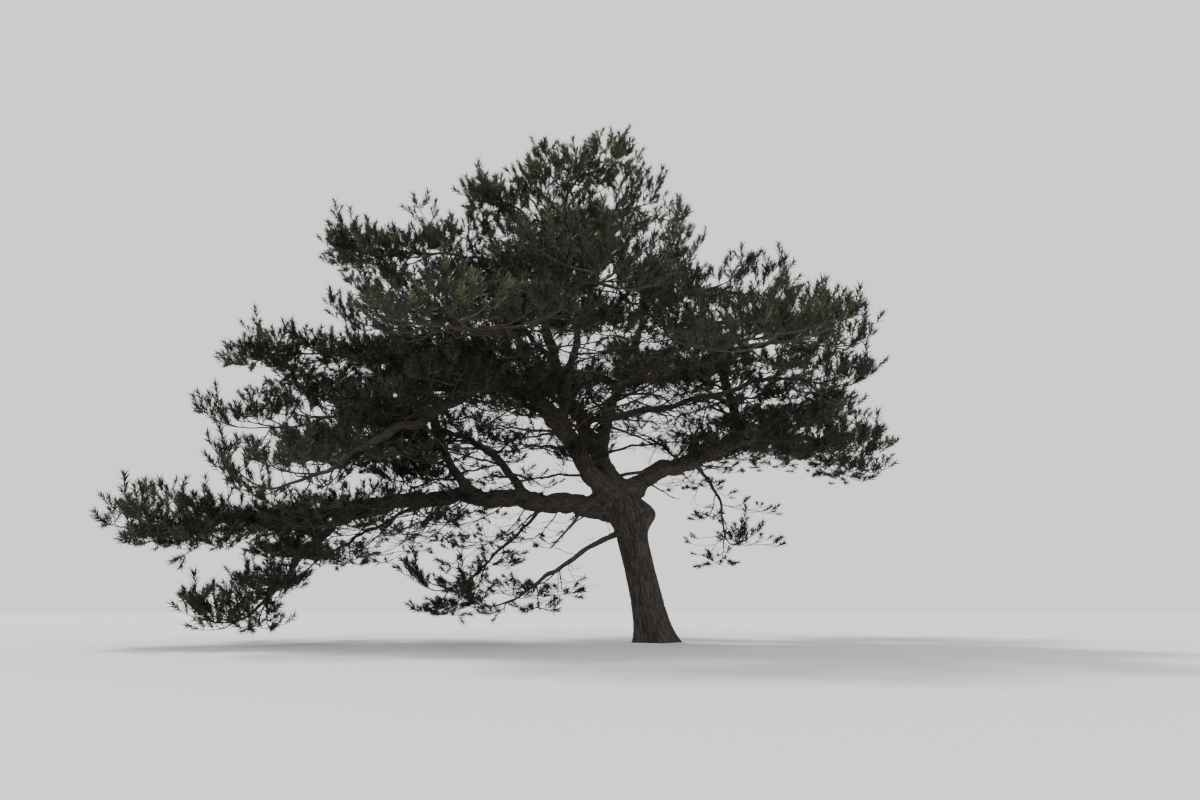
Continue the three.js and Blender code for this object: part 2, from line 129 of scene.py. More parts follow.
# Each mass grows on from a limb's tip: its solid and region, then the bearing, reach and height
# of its own tip, how far its twigs spread, and the turn from one twig to the next.
massTable = {
    "left_bough": ("left_low_needles", "left_low", 191.1, 6470, 320, 1200, 180),
    "left_far_bough": ("left_far_needles", "left_low", 189.0, 7700, 1760, 1250, 180),
    "left_riser": ("left_riser_needles", "left_middle", 189.5, 5460, 2740, 1050, 180),
    "left_slanting_riser": ("left_back_needles", "left_middle", 159.3, 6790, 3270, 1300, 180),
    "left_under_bough": ("left_under_needles", "left_low", 172.3, 6750, 840, 950, 180),
    "hanging_bough": ("hanging_needles", "left_low", 193.4, 3440, 770, 700, 180),
    "low_bough": ("low_needles", "left_low", 208.2, 2860, 540, 700, 180),
    "arching_bough": ("arching_needles", "left_high", 204.3, 6080, 2070, 1250, 180),
    "left_middle_bough": ("left_middle_needles", "left_middle", 178.4, 7080, 3490, 1250, 180),
    "left_upper_bough": ("left_upper_needles", "left_high", 177.4, 6590, 4880, 1250, 180),
    "front_left_bough": ("front_left_needles", "front", 240, 5100, 3750, 1450, 180),
    "main_leader": ("crown_top_needles", "crown", 164.2, 740, 8540, 1150, 137),
    "top_left_bough": ("top_left_needles", "crown", 190.5, 2730, 7340, 1050, 155),
    "crown_left_bough": ("crown_left_needles", "crown", 177.8, 5230, 6690, 1400, 180),
    "middle_left_bough": ("middle_left_needles", "crown", 164.5, 5620, 5680, 1400, 180),
    "front_high_bough": ("front_high_needles", "front", 258, 4150, 4500, 1500, 180),
    "top_right_bough": ("top_right_needles", "crown", 92.0, 500, 7780, 1000, 155),
    "long_right_bough": ("long_right_needles", "right", 345.5, 3210, 3930, 1150, 180),
    "right_stem": ("back_top_needles", "back", 71.6, 2950, 7310, 1400, 150),
    "back_right_bough": ("back_right_needles", "back", 83, 5600, 5800, 1600, 180),
    "back_left_bough": ("back_left_needles", "back", 127, 6000, 5300, 1650, 180),
    "right_leader": ("right_top_needles", "right", 5.4, 2120, 5850, 1050, 165),
    "right_upper_bough": ("right_upper_needles", "right", 353.7, 2740, 5280, 850, 180),
    "right_middle_bough": ("right_middle_needles", "right", 347.6, 3270, 4630, 950, 180),
    "front_right_bough": ("front_right_needles", "front", 289, 4100, 3750, 1450, 180),
    "right_low_bough": ("right_low_needles", "right", 343.8, 3230, 2680, 1100, 180),
    "right_hanging_bough": ("right_hanging_needles", "right", 38.5, 1930, 1580, 800, 180),
    "right_back_bough": ("right_back_needles", "back", 40.8, 5510, 3830, 1600, 180),
}


# A seeded run of numbers from 0 to 1, the same as the solids' own.
class Dice:
    def __init__(self, seed):
        self.state = seed & 0xFFFFFFFF

    def roll(self):
        whole = 0xFFFFFFFF
        self.state = (self.state + 0x6D2B79F5) & whole
        t = ((self.state ^ (self.state >> 15)) * (1 | self.state)) & whole
        t = ((t + (((t ^ (t >> 7)) * (61 | t)) & whole)) & whole) ^ t
        return (t ^ (t >> 14)) / 4294967296

    def between(self, low, high):
        return low + (high - low) * self.roll()

    # A short vector in any direction.
    def stray(self, size):
        return Vector([self.between(-size, size) for _ in range(3)])


# A cubic curve that is read by the share of its length.
class Bend:
    def __init__(self, *corners):
        self.corners = [np.array(corner, float) for corner in corners]
        self.shares = np.linspace(0, 1, 201)
        steps = np.linalg.norm(np.diff(self.raw(self.shares), axis=0), axis=1)
        self.sums = np.concatenate([[0], np.cumsum(steps)])
        self.length = self.sums[-1]

    def raw(self, t):
        t = np.asarray(t, float)[..., None]
        a, b, c, d = self.corners
        return (1 - t) ** 3 * a + 3 * (1 - t) ** 2 * t * b + 3 * (1 - t) * t * t * c + t**3 * d

    def at(self, share):
        return self.raw(np.interp(np.asarray(share) * self.length, self.sums, self.shares))

    def heading(self, share):
        ahead = self.at(min(share + 1e-4, 1)) - self.at(max(share - 1e-4, 0))
        return ahead / np.linalg.norm(ahead)


def placeOf(bearing, reach, height):
    turn = math.radians(bearing)
    return np.array([reach * math.cos(turn), reach * math.sin(turn), height]) * mm


# A curve from one place to another that leaves and arrives at the given slopes.
def limbBend(start, end, leave, arrive, outward=None):
    flat = (end - start) * [1, 1, 0]
    flat /= np.linalg.norm(flat)
    handle = 0.38 * np.linalg.norm(end - start)

    def slope(degrees):
        return flat * math.cos(math.radians(degrees)) + np.array(up) * math.sin(math.radians(degrees))

    first = slope(leave) if outward is None else outward
    return Bend(start, start + first * handle, end - slope(arrive) * handle, end)


barkSize = {
    "wobble": 0.30,  # how far a limb strays from its even curve, as a share of its radius
    "wave": 0.85,  # length of the strays
    "step": 0.08,  # between the spots of a limb's centre line
    "fade": 0.35,  # reach over which a limb leaves its parent's own strays
    "swell": 0.05,  # how unevenly thick a limb is, as a share of its radius
    "collarShare": 1.1,  # reach of the swelling where two limbs join, as a share of the thinner
    "collarMost": 0.30,
    "plate": 0.17,  # width of a bark plate, as a share of the limb's radius
    "plateLeast": 0.016,
    "stretch": 0.17,  # width of a plate as a share of its height
    "depth": 0.055,  # depth of the furrows, as a share of the radius
    "depthMost": 0.015,
    "tip": 0.008,  # radius at a stem's tip
    "spacing": 0.0095,  # between the points round a thick limb
    "rings": 0.017,  # between the rings of a thick limb
}


# One limb with the stem that grows on from its tip: its centre line, its radii, and where on it
# its own children start.
class Limb:
    def __init__(self, name, parent, along, bearing, reach, height, leave, arrive, root, end):
        self.name = name
        self.parent = parent
        self.start = parent.bend.at(along)
        self.bend = limbBend(self.start, placeOf(bearing, reach, height), leave, arrive)
        self.root, self.end = root * mm, end * mm
        self.stem = None
        self.length = self.bend.length
        if name in massTable:
            self.region, *tip, spread, self.spiral = massTable[name][1:]
            self.spread = spread * mm
            outward = self.bend.heading(1)
            self.stem = limbBend(self.bend.at(1) + outward * 0.3 * mm, placeOf(*tip), 0, 8, outward)
            self.length += self.stem.length
        count = max(12, int(self.length / barkSize["step"]))
        self.reaches = np.linspace(0, self.length, count + 1)
        self.spots = np.array([self.even(reach) for reach in self.reaches])
        self.spots += self.strays(parent.strayAt(parent.reachOf(along)))
        self.radii = np.array([self.radiusAt(reach) for reach in self.reaches])

    def even(self, reach):
        if reach <= self.bend.length or self.stem is None:
            return self.bend.at(reach / self.bend.length)
        return self.stem.at((reach - self.bend.length) / self.stem.length)

    # Slow seeded strays off the even curve, which start from the parent's own.
    def strays(self, first):
        dice = Dice(treeSeed + sum(map(ord, self.name)) * 7)
        share = self.reaches / self.length
        size = barkSize["wobble"] * (0.05 + 0.5 * (self.root + (self.end - self.root) * share))
        rise = np.sin(np.pi * share) ** 0.6
        out = np.zeros((len(share), 3))
        for wave, weight in ((1.0, 1.0), (0.43, 0.45)):
            for axis in range(3):
                phase = dice.between(0, 2 * math.pi)
                turn = 2 * np.pi * self.reaches / (barkSize["wave"] * wave * dice.between(0.8, 1.3))
                out[:, axis] += np.sin(turn + phase) * weight * size * rise
        fade = np.exp(-((self.reaches / barkSize["fade"]) ** 2))
        self.strayed = out * (1 - fade)[:, None] + first * fade[:, None]
        return self.strayed

    def strayAt(self, reach):
        return np.array([np.interp(reach, self.reaches, self.strayed[:, axis]) for axis in range(3)])

    def reachOf(self, share):
        return share * self.bend.length

    def radiusAt(self, reach):
        if reach <= self.bend.length:
            radius = self.root + (self.end - self.root) * (reach / self.bend.length) ** 0.85
            left = self.bend.length - reach
            if self.stem is None and left < radius:
                radius *= math.sqrt(max(0.05, 1 - (1 - left / radius) ** 2))
            return radius
        share = (reach - self.bend.length) / self.stem.length
        return self.end + (barkSize["tip"] - self.end) * share**0.8

    def spotAt(self, reach):
        return np.array([np.interp(reach, self.reaches, self.spots[:, axis]) for axis in range(3)])

    # The place and the heading at a reach along the limb and its stem.
    def standAt(self, reach):
        ahead = self.spotAt(reach + 0.05) - self.spotAt(reach - 0.05)
        return Vector(self.spotAt(reach)), Vector(ahead).normalized()

    # The place and the heading at a share of the stem.
    def onStem(self, share):
        reach = self.bend.length + share * self.stem.length
        return Vector(self.spotAt(reach)), Vector(self.stem.heading(share))


# The trunk, as the limb that the others start on.
class Trunk:
    def __init__(self):
        size = trunkSize
        self.name = "trunk"
        height, lean = size["height"], size["lean"]
        shares = ((0, 0), (0.3, 0.33), (0.62, 0.7), (1, 1))
        self.bend = Bend(*[(-lean * back, 0, height * rise) for back, rise in shares])
        shares = np.linspace(0, 1, 40)
        self.spots = self.bend.raw(shares)
        self.radii = np.array([self.radius(t, math.pi / 2) for t in shares])
        self.parent = None
        self.root = size["girth"]

    # It strays nowhere from its even curve.
    def strayAt(self, reach):
        return np.zeros(3)

    def reachOf(self, share):
        return share

    def radius(self, t, turn):
        size = trunkSize
        z = self.bend.raw(t)[..., 2]
        foot = size["flare"] * np.exp(-z / size["flareFade"])
        buttress = 1 + size["rootDepth"] * np.cos(size["roots"] * turn + 0.6)
        swell = np.exp(-(((z - size["collarHeight"]) / size["collarReach"]) ** 2))
        collar = size["collar"] * swell * (1 + size["shoulder"] * np.cos(turn))
        start, over = size["rounded"]
        rounding = np.sqrt(np.maximum(0.02, 1 - np.maximum(0, (t - start) / over) ** 2))
        flutes = 0.012 * np.sin(3 * turn + 2.2 * z) + 0.008 * np.sin(7 * turn - 1.4 * z + 1)
        return (size["girth"] * (1.03 - 0.06 * t) + foot * buttress + collar + flutes) * rounding


trunk = Trunk()
limbs = {"trunk": trunk}
for name, row in limbTable.items():
    limbs[name] = Limb(name, limbs[row[0]], *row[1:])
print("limbs laid out:", len(limbs))


# How far each spot stands from a limb's bark, negative inside it.
def clearOf(spots, limb):
    a, b = limb.spots[:-1], limb.spots[1:]
    way = b - a
    squared = (way**2).sum(1)
    away = spots[:, None, :] - a[None]
    share = np.clip((away * way[None]).sum(2) / squared, 0, 1)
    off = np.linalg.norm(away - share[..., None] * way[None], axis=2)
    radius = limb.radii[:-1] + (limb.radii[1:] - limb.radii[:-1]) * share
    return (off - radius).min(1)


# What a limb may meet: what carries it, what it carries, and the others on the same limb.
def relatives(limb):
    kin = [other for other in limbs.values() if other.parent is limb]
    if limb.parent is not None:
        kin.append(limb.parent)
        beside = [other for other in limbs.values() if other.parent is limb.parent]
        kin += [other for other in beside if other is not limb]
    return kin


# Swells a limb's rings where they meet another limb, so that the two join in a smooth crotch.
def easeJoints(limb, centres, ways, radii):
    grown = radii.copy()
    middle = centres.reshape(-1, 3)
    for other in relatives(limb):
        reach = barkSize["collarShare"] * min(limb.root, other.root)
        outer = middle + ways * radii[:, None]
        low, high = other.spots.min(0) - reach - other.root, other.spots.max(0) + reach + other.root
        near = np.flatnonzero(((outer > low) & (outer < high)).all(1))
        if len(near):
            near = near[np.abs(clearOf(outer[near], other)) < reach]
        for _ in range(4 if len(near) else 0):
            spots = centres[near] + ways[near] * grown[near, None]
            away = clearOf(spots, other)
            own = grown[near] - radii[near]
            h = np.maximum(reach - np.abs(own - away), 0) / reach
            field = np.minimum(own, away) - h * h * reach * 0.25
            most = radii[near] + barkSize["collarMost"] * reach
            grown[near] = np.clip(grown[near] + 0.8 * np.maximum(-field, 0), radii[near], most)
    return grown


# Rings carried along a line without twisting: the ring's two axes at each spot.
def ringAxes(spots):
    ahead = np.gradient(spots, axis=0)
    ahead /= np.linalg.norm(ahead, axis=1)[:, None]
    side = np.cross(ahead[0], [0.3, 0.2, 1])
    sides = []
    for way in ahead:
        side = side - way * side.dot(way)
        side /= np.linalg.norm(side)
        sides.append(side)
    sides = np.array(sides)
    return sides, np.cross(ahead, sides)


# A closed tube mesh from its rings of points, with values kept at every point.
def tubeMesh(name, rings, values):
    count, sides = rings.shape[:2]
    spots = np.concatenate([rings.reshape(-1, 3), rings[0].mean(0)[None], rings[-1].mean(0)[None]])
    ring, side = np.meshgrid(np.arange(count - 1), np.arange(sides), indexing="ij")
    after = (side + 1) % sides
    low, high = ring * sides, (ring + 1) * sides
    quads = np.stack([low + side, low + after, high + after, high + side], -1).reshape(-1, 4)
    turn = np.arange(sides)
    turned = (turn + 1) % sides
    foot, top = count * sides, count * sides + 1
    last = (count - 1) * sides
    fans = [[foot, b, a] for a, b in zip(turn, turned)]
    fans += [[top, last + a, last + b] for a, b in zip(turn, turned)]
    mesh = bpy.data.meshes.new(name)
    mesh.from_pydata(spots.tolist(), [], quads.tolist() + [[int(v) for v in fan] for fan in fans])
    for key, value in values.items():
        flat = value.reshape(count * sides, -1)
        flat = np.concatenate([flat, flat[:1], flat[-1:]])
        kind, slotName = ("FLOAT_VECTOR", "vector") if flat.shape[1] == 3 else ("FLOAT", "value")
        column = mesh.attributes.new(key, kind, "POINT").data
        column.foreach_set(slotName, flat.astype(np.float32).ravel())
    return mesh


# The coordinates of the bark, as if the limb stood straight, counted in plates.
def barkValues(radii, reaches, turns, offset):
    plate = np.maximum(barkSize["plateLeast"], barkSize["plate"] * radii)
    rise = np.concatenate([[0], np.cumsum(np.diff(reaches) / plate[1:])]) * barkSize["stretch"] + offset
    rise = np.repeat(rise[:, None], len(turns), 1)
    span = (radii / plate)[:, None]
    spot = np.stack([span * np.cos(turns)[None], span * np.sin(turns)[None], rise], -1)
    depth = np.minimum(barkSize["depthMost"], barkSize["depth"] * radii)
    return {"barkSpot": spot, "barkDepth": np.repeat(depth[:, None], len(turns), 1)}


def trunkRings():
    size = trunkSize
    t = np.linspace(0, 1, size["rings"])
    turns = np.arange(size["sides"]) * 2 * np.pi / size["sides"]
    centres = trunk.bend.raw(t)
    radii = trunk.radius(t[:, None], turns[None])
    ways = np.stack([np.cos(turns), np.sin(turns), np.zeros(len(turns))], -1)
    ways = np.repeat(ways[None], len(t), 0)
    flat = np.repeat(centres[:, None], len(turns), 1).reshape(-1, 3)
    grown = easeJoints(trunk, flat, ways.reshape(-1, 3), radii.ravel()).reshape(radii.shape)
    rings = centres[:, None] + ways * grown[..., None]
    values = barkValues(np.full(len(t), size["girth"]), centres[:, 2], turns, 0)
    values["barkDepth"] *= np.clip((1 - t) / 0.08, 0, 1)[:, None]
    return tubeMesh("trunk", rings, values)


# How much coarser the rings of slimmer limbs are: up to this radius, round them and along them.
coarseness = [(0.06, 1.5, 1.6), (0.1, 1.15, 1.25), (1, 1, 1)]


def limbRings(limb, index):
    wider, longer = next(row[1:] for row in coarseness if limb.root <= row[0])
    spacing, finest = barkSize["spacing"] * wider, barkSize["rings"] * longer
    sides = int(max(12, 2 * math.pi * (limb.root * 0.6 + limb.end * 0.4) / spacing))
    reaches = [0.0]
    while reaches[-1] < limb.length:
        thin = limb.radiusAt(reaches[-1]) / limb.root
        reaches.append(reaches[-1] + finest * (1 + 1.5 * max(0, 1 - 1.6 * thin)))
    reaches = np.array(reaches) * limb.length / reaches[-1]
    centres = np.stack([np.interp(reaches, limb.reaches, limb.spots[:, axis]) for axis in range(3)], -1)
    radii = np.array([limb.radiusAt(reach) for reach in reaches])
    dice = Dice(treeSeed + 31 * index)
    swell = 0
    for wave in (0.55, 0.23):
        waves = 2 * np.pi * reaches / (wave * dice.between(0.8, 1.3))
        swell = swell + barkSize["swell"] * np.sin(waves + dice.between(0, 6))
    radii = radii * (1 + swell * np.clip((limb.length - reaches) / 0.3, 0, 1))
    turns = np.arange(sides) * 2 * np.pi / sides
    side, front = ringAxes(centres)
    ways = side[:, None] * np.cos(turns)[None, :, None] + front[:, None] * np.sin(turns)[None, :, None]
    flat = np.repeat(centres[:, None], sides, 1).reshape(-1, 3)
    wide = np.repeat(radii[:, None], sides, 1)
    grown = easeJoints(limb, flat, ways.reshape(-1, 3), wide.ravel()).reshape(wide.shape)
    rings = centres[:, None] + ways * grown[..., None]
    return tubeMesh(limb.name, rings, barkValues(radii, reaches, turns, 17.3 * index))


def addSocket(tree, label, kind, way, value=None):
    socket = tree.interface.new_socket(label, in_out=way, socket_type="NodeSocket" + kind)
    if value is not None:
        socket.default_value = value
    return socket.identifier


# Starts a node tree with named inputs. Each input: its name, its kind and its value.
def startTree(name, kind, inputs):
    tree = bpy.data.node_groups.new(name, kind)
    if kind == "GeometryNodeTree":
        addSocket(tree, "Geometry", "Geometry", "INPUT")
        addSocket(tree, "Geometry", "Geometry", "OUTPUT")
    sockets = {label: addSocket(tree, label, kind, "INPUT", *value) for label, kind, *value in inputs}
    return tree, sockets, tree.nodes.new("NodeGroupInput")


# Adds a node. A socket given as a value is linked, and anything else is set.
def addNode(tree, kind, values=None, **settings):
    node = tree.nodes.new(kind)
    for key, value in settings.items():
        setattr(node, key, value)
    for key, value in (values or {}).items():
        if isinstance(value, bpy.types.NodeSocket):
            tree.links.new(value, node.inputs[key])
        else:
            node.inputs[key].default_value = value
    return node


def named(tree, attribute, kind="FLOAT"):
    node = addNode(tree, "GeometryNodeInputNamedAttribute", {"Name": attribute}, data_type=kind)
    return node.outputs[0]


def maths(tree, operation, *values):
    return addNode(tree, "ShaderNodeMath", dict(enumerate(values)), operation=operation).outputs[0]


def endTree(tree, geometry, material=None):
    real = addNode(tree, "GeometryNodeRealizeInstances", {"Geometry": geometry}).outputs[0]
    if material is not None:
        real = addNode(tree, "GeometryNodeSetMaterial", {"Geometry": real, "Material": material}).outputs[0]
    addNode(tree, "NodeGroupOutput", {"Geometry": real})


def vectorMaths(tree, operation, first, second):
    values = {0: first, "Scale" if operation == "SCALE" else 1: second}
    return addNode(tree, "ShaderNodeVectorMath", values, operation=operation).outputs[0]


def noise(tree, vector, scale, detail, roughness=0.5, output="Fac"):
    values = {"Vector": vector, "Scale": scale, "Detail": detail, "Roughness": roughness}
    return addNode(tree, "ShaderNodeTexNoise", values).outputs[output]


# Carries a value from one range to another, evenly or with soft ends.
def ranged(tree, value, low, high, first=0.0, last=1.0, curve="LINEAR"):
    values = {"Value": value, "From Min": low, "From Max": high, "To Min": first, "To Max": last}
    return addNode(tree, "ShaderNodeMapRange", values, interpolation_type=curve).outputs["Result"]


# Where a noise passes through its middle value, as thin wandering lines: 0 on them, 1 beside them.
def cracks(tree, vector, scale, width, detail):
    away = maths(tree, "SUBTRACT", noise(tree, vector, scale, detail, 0.55), 0.5)
    return ranged(tree, maths(tree, "ABSOLUTE", away), 0.0, width, curve="SMOOTHSTEP")


reliefSize = {
    "furrowWidth": 0.075,
    "warp": 0.5,  # how far the furrows stray
    "grain": 0.5,
    "straying": 0.7,  # the scales of the noises, in plates
    "wideFurrows": 0.75,
    "fineFurrows": 1.7,
    "graining": 2.6,
    "level": 0.62,  # the height that stays where it is
}


# Long forking furrows, pressed into the surface and kept as an attribute, where the bark material lays the
# furrows' own dark and painted shade.
def barkReliefTree():
    size = reliefSize
    inputs = [
        ("Furrow Width", "Float", size["furrowWidth"]),
        ("Warp", "Float", size["warp"]),
        ("Grain", "Float", size["grain"]),
        ("Material", "Material"),
    ]
    tree, sockets, given = startTree("bark relief", "GeometryNodeTree", inputs)
    spot = named(tree, "barkSpot", "FLOAT_VECTOR")
    bends = noise(tree, spot, size["straying"], 2.0, output="Color")
    centred = vectorMaths(tree, "SUBTRACT", bends, (0.5, 0.5, 0.5))
    scaled = vectorMaths(tree, "SCALE", centred, given.outputs["Warp"])
    warped = vectorMaths(tree, "ADD", spot, scaled)
    wide = cracks(tree, warped, size["wideFurrows"], given.outputs["Furrow Width"], 1.0)
    fine = cracks(tree, warped, size["fineFurrows"], given.outputs["Furrow Width"], 2.0)
    plate = maths(tree, "MULTIPLY", wide, maths(tree, "MULTIPLY_ADD", fine, 0.6, 0.4))
    grain = maths(tree, "SUBTRACT", noise(tree, warped, size["graining"], 4.0), 0.5)
    rough = maths(tree, "MULTIPLY", grain, given.outputs["Grain"])
    height = maths(tree, "SUBTRACT", maths(tree, "ADD", plate, rough), size["level"])
    lift = maths(tree, "MULTIPLY", height, named(tree, "barkDepth"))
    normal = addNode(tree, "GeometryNodeInputNormal").outputs["Normal"]
    furrow = maths(tree, "SUBTRACT", 1.0, plate)
    values = {"Geometry": given.outputs["Geometry"], "Name": "furrow", "Value": furrow}
    stored = addNode(tree, "GeometryNodeStoreNamedAttribute", values, data_type="FLOAT", domain="POINT")
    values = {"Geometry": stored.outputs[0], "Offset": vectorMaths(tree, "SCALE", normal, lift)}
    moved = addNode(tree, "GeometryNodeSetPosition", values).outputs[0]
    smooth = addNode(tree, "GeometryNodeSetShadeSmooth", {"Geometry": moved}).outputs[0]
    endTree(tree, smooth, given.outputs["Material"])
    return tree, sockets


# Tubes along a net of separate lines, as thick as the lines say.
def twigTree():
    inputs = [
        ("Sides", "Int", 5),
        ("Fine Sides", "Int", 3),
        ("Fine Below", "Float", 0.0072),  # radius at the root of the twigs with fewer sides
        ("Material", "Material"),
    ]
    tree, sockets, given = startTree("twigs along lines", "GeometryNodeTree", inputs)
    source = given.outputs["Geometry"]
    lines = addNode(tree, "GeometryNodeMeshToCurve", {"Mesh": source}).outputs[0]
    values = {0: named(tree, "rootThickness"), 1: given.outputs["Fine Below"]}
    isFine = addNode(tree, "FunctionNodeCompare", values, data_type="FLOAT", operation="LESS_THAN")
    values = {"Geometry": lines, "Selection": isFine.outputs[0]}
    parts = addNode(tree, "GeometryNodeSeparateGeometry", values, domain="CURVE").outputs
    joined = tree.nodes.new("GeometryNodeJoinGeometry")
    for part, label in ((parts[0], "Fine Sides"), (parts[1], "Sides")):
        values = {"Resolution": given.outputs[label], "Radius": 1.0}
        ring = addNode(tree, "GeometryNodeCurvePrimitiveCircle", values).outputs[0]
        thick = named(tree, "thickness")
        values = {"Curve": part, "Profile Curve": ring, "Scale": thick, "Fill Caps": True}
        tree.links.new(addNode(tree, "GeometryNodeCurveToMesh", values).outputs[0], joined.inputs[0])
    smooth = addNode(tree, "GeometryNodeSetShadeSmooth", {"Geometry": joined.outputs[0]}).outputs[0]
    endTree(tree, smooth, given.outputs["Material"])
    return tree, sockets


# Sprays of needles stood on points that say how each is aimed, turned, sized, shaped and tinted.
def sprayTree(tones):
    inputs = [("Sprays", "Collection")] + [(f"Tone {k}", "Material") for k in range(tones)]
    tree, sockets, given = startTree("needle sprays on points", "GeometryNodeTree", inputs)
    values = {"Collection": given.outputs["Sprays"], "Separate Children": True, "Reset Children": True}
    kinds = addNode(tree, "GeometryNodeCollectionInfo", values).outputs[0]
    values = {"Vector": named(tree, "aim", "FLOAT_VECTOR")}
    aimed = addNode(tree, "FunctionNodeAlignRotationToVector", values, axis="Z").outputs[0]
    values = {"Axis": (0, 0, 1), "Angle": named(tree, "spin")}
    spun = addNode(tree, "FunctionNodeAxisAngleToRotation", values).outputs[0]
    values = {"Rotation": aimed, "Rotate By": spun}
    turned = addNode(tree, "FunctionNodeRotateRotation", values, rotation_space="LOCAL").outputs[0]
    values = {
        "Points": given.outputs["Geometry"],
        "Instance": kinds,
        "Pick Instance": True,
        "Instance Index": named(tree, "shape", "INT"),
        "Rotation": turned,
        "Scale": named(tree, "size"),
    }
    placed = addNode(tree, "GeometryNodeInstanceOnPoints", values).outputs[0]
    geometry = addNode(tree, "GeometryNodeRealizeInstances", {"Geometry": placed}).outputs[0]
    tone = named(tree, "tone", "INT")
    for k in range(tones):
        mine = addNode(tree, "FunctionNodeCompare", {2: tone, 3: k}, data_type="INT", operation="EQUAL")
        values = {"Geometry": geometry, "Selection": mine.outputs[0], "Material": given.outputs[f"Tone {k}"]}
        geometry = addNode(tree, "GeometryNodeSetMaterial", values).outputs[0]
    addNode(tree, "NodeGroupOutput", {"Geometry": geometry})
    return tree, sockets


# Runs a tree on a mesh and keeps the result as a plain object.
def grown(name, mesh, tree, sockets, values):
    rough = bpy.data.objects.new(name + "_lines", mesh)
    bpy.context.scene.collection.objects.link(rough)
    modifier = rough.modifiers.new("grow", "NODES")
    modifier.node_group = tree
    for label, value in values.items():
        modifier[sockets[label]] = value
    bpy.context.view_layer.update()
    graph = bpy.context.evaluated_depsgraph_get()
    made = bpy.data.meshes.new_from_object(rough.evaluated_get(graph), depsgraph=graph)
    rough.modifiers.clear()
    bpy.data.objects.remove(rough)
    piece = bpy.data.objects.new(name, made)
    bpy.context.scene.collection.objects.link(piece)
    return piece


# Patches of two colours that break up softly, shared by the bark materials.
def mottleGroup():
    inputs = [
        ("Vector", "Vector"),
        ("Scale", "Float", 1.0),
        ("Low", "Float", 0.4),
        ("High", "Float", 0.6),
        ("First", "Color", (0.2, 0.2, 0.2, 1)),
        ("Second", "Color", (0.4, 0.4, 0.4, 1)),
    ]
    tree, _, given = startTree("mottle", "ShaderNodeTree", inputs)
    addSocket(tree, "Color", "Color", "OUTPUT")
    addSocket(tree, "Mask", "Float", "OUTPUT")
    patches = noise(tree, given.outputs["Vector"], given.outputs["Scale"], 5.0, 0.6)
    mask = ranged(tree, patches, given.outputs["Low"], given.outputs["High"], curve="SMOOTHSTEP")
    mixed = mixColor(tree, mask, given.outputs["First"], given.outputs["Second"])
    addNode(tree, "NodeGroupOutput", {"Color": mixed, "Mask": mask})
    return tree


def mixColor(tree, share, first, second):
    return addNode(tree, "ShaderNodeMix", {0: share, 6: first, 7: second}, data_type="RGBA").outputs[2]


def mottled(tree, group, vector, **values):
    node = tree.nodes.new("ShaderNodeGroup")
    node.node_tree = group
    tree.links.new(vector, node.inputs["Vector"])
    for label, value in values.items():
        node.inputs[label].default_value = value
    return node.outputs


barkLook = {
    "plate": (0.064, 0.055, 0.048, 1),
    "plateWarm": (0.082, 0.066, 0.055, 1),
    "plateGrey": (0.118, 0.111, 0.101, 1),
    "furrow": (0.020, 0.017, 0.015, 1),
    "lichen": (0.128, 0.133, 0.112, 1),
    "greyShare": 0.60,  # how strongly each shows
    "lichenShare": 0.55,
    "furrowDarkAndShadeShare": 0.85,
    "splitShare": 0.55,
    "roughness": (0.78, 0.95),
    "shine": 0.25,
    "flakes": (0.55, 0.008),  # strength and depth
}
twigLook = {
    "dark": (0.034, 0.027, 0.022, 1),
    "light": (0.070, 0.057, 0.046, 1),
    "roughness": (0.72, 0.92),
    "shine": 0.25,
    "scales": (0.4, 0.003),  # strength and depth
}


def newMaterial(name, shine):
    material = bpy.data.materials.new(name)
    material.use_nodes = True
    tree = material.node_tree
    shader = tree.nodes["Principled BSDF"]
    shader.inputs["Specular IOR Level"].default_value = shine
    return material, tree, shader, addNode(tree, "ShaderNodeTexCoord").outputs["Object"]


def bump(tree, shader, height, strength, depth):
    node = addNode(tree, "ShaderNodeBump", {"Strength": strength, "Distance": depth, "Height": height})
    tree.links.new(node.outputs["Normal"], shader.inputs["Normal"])
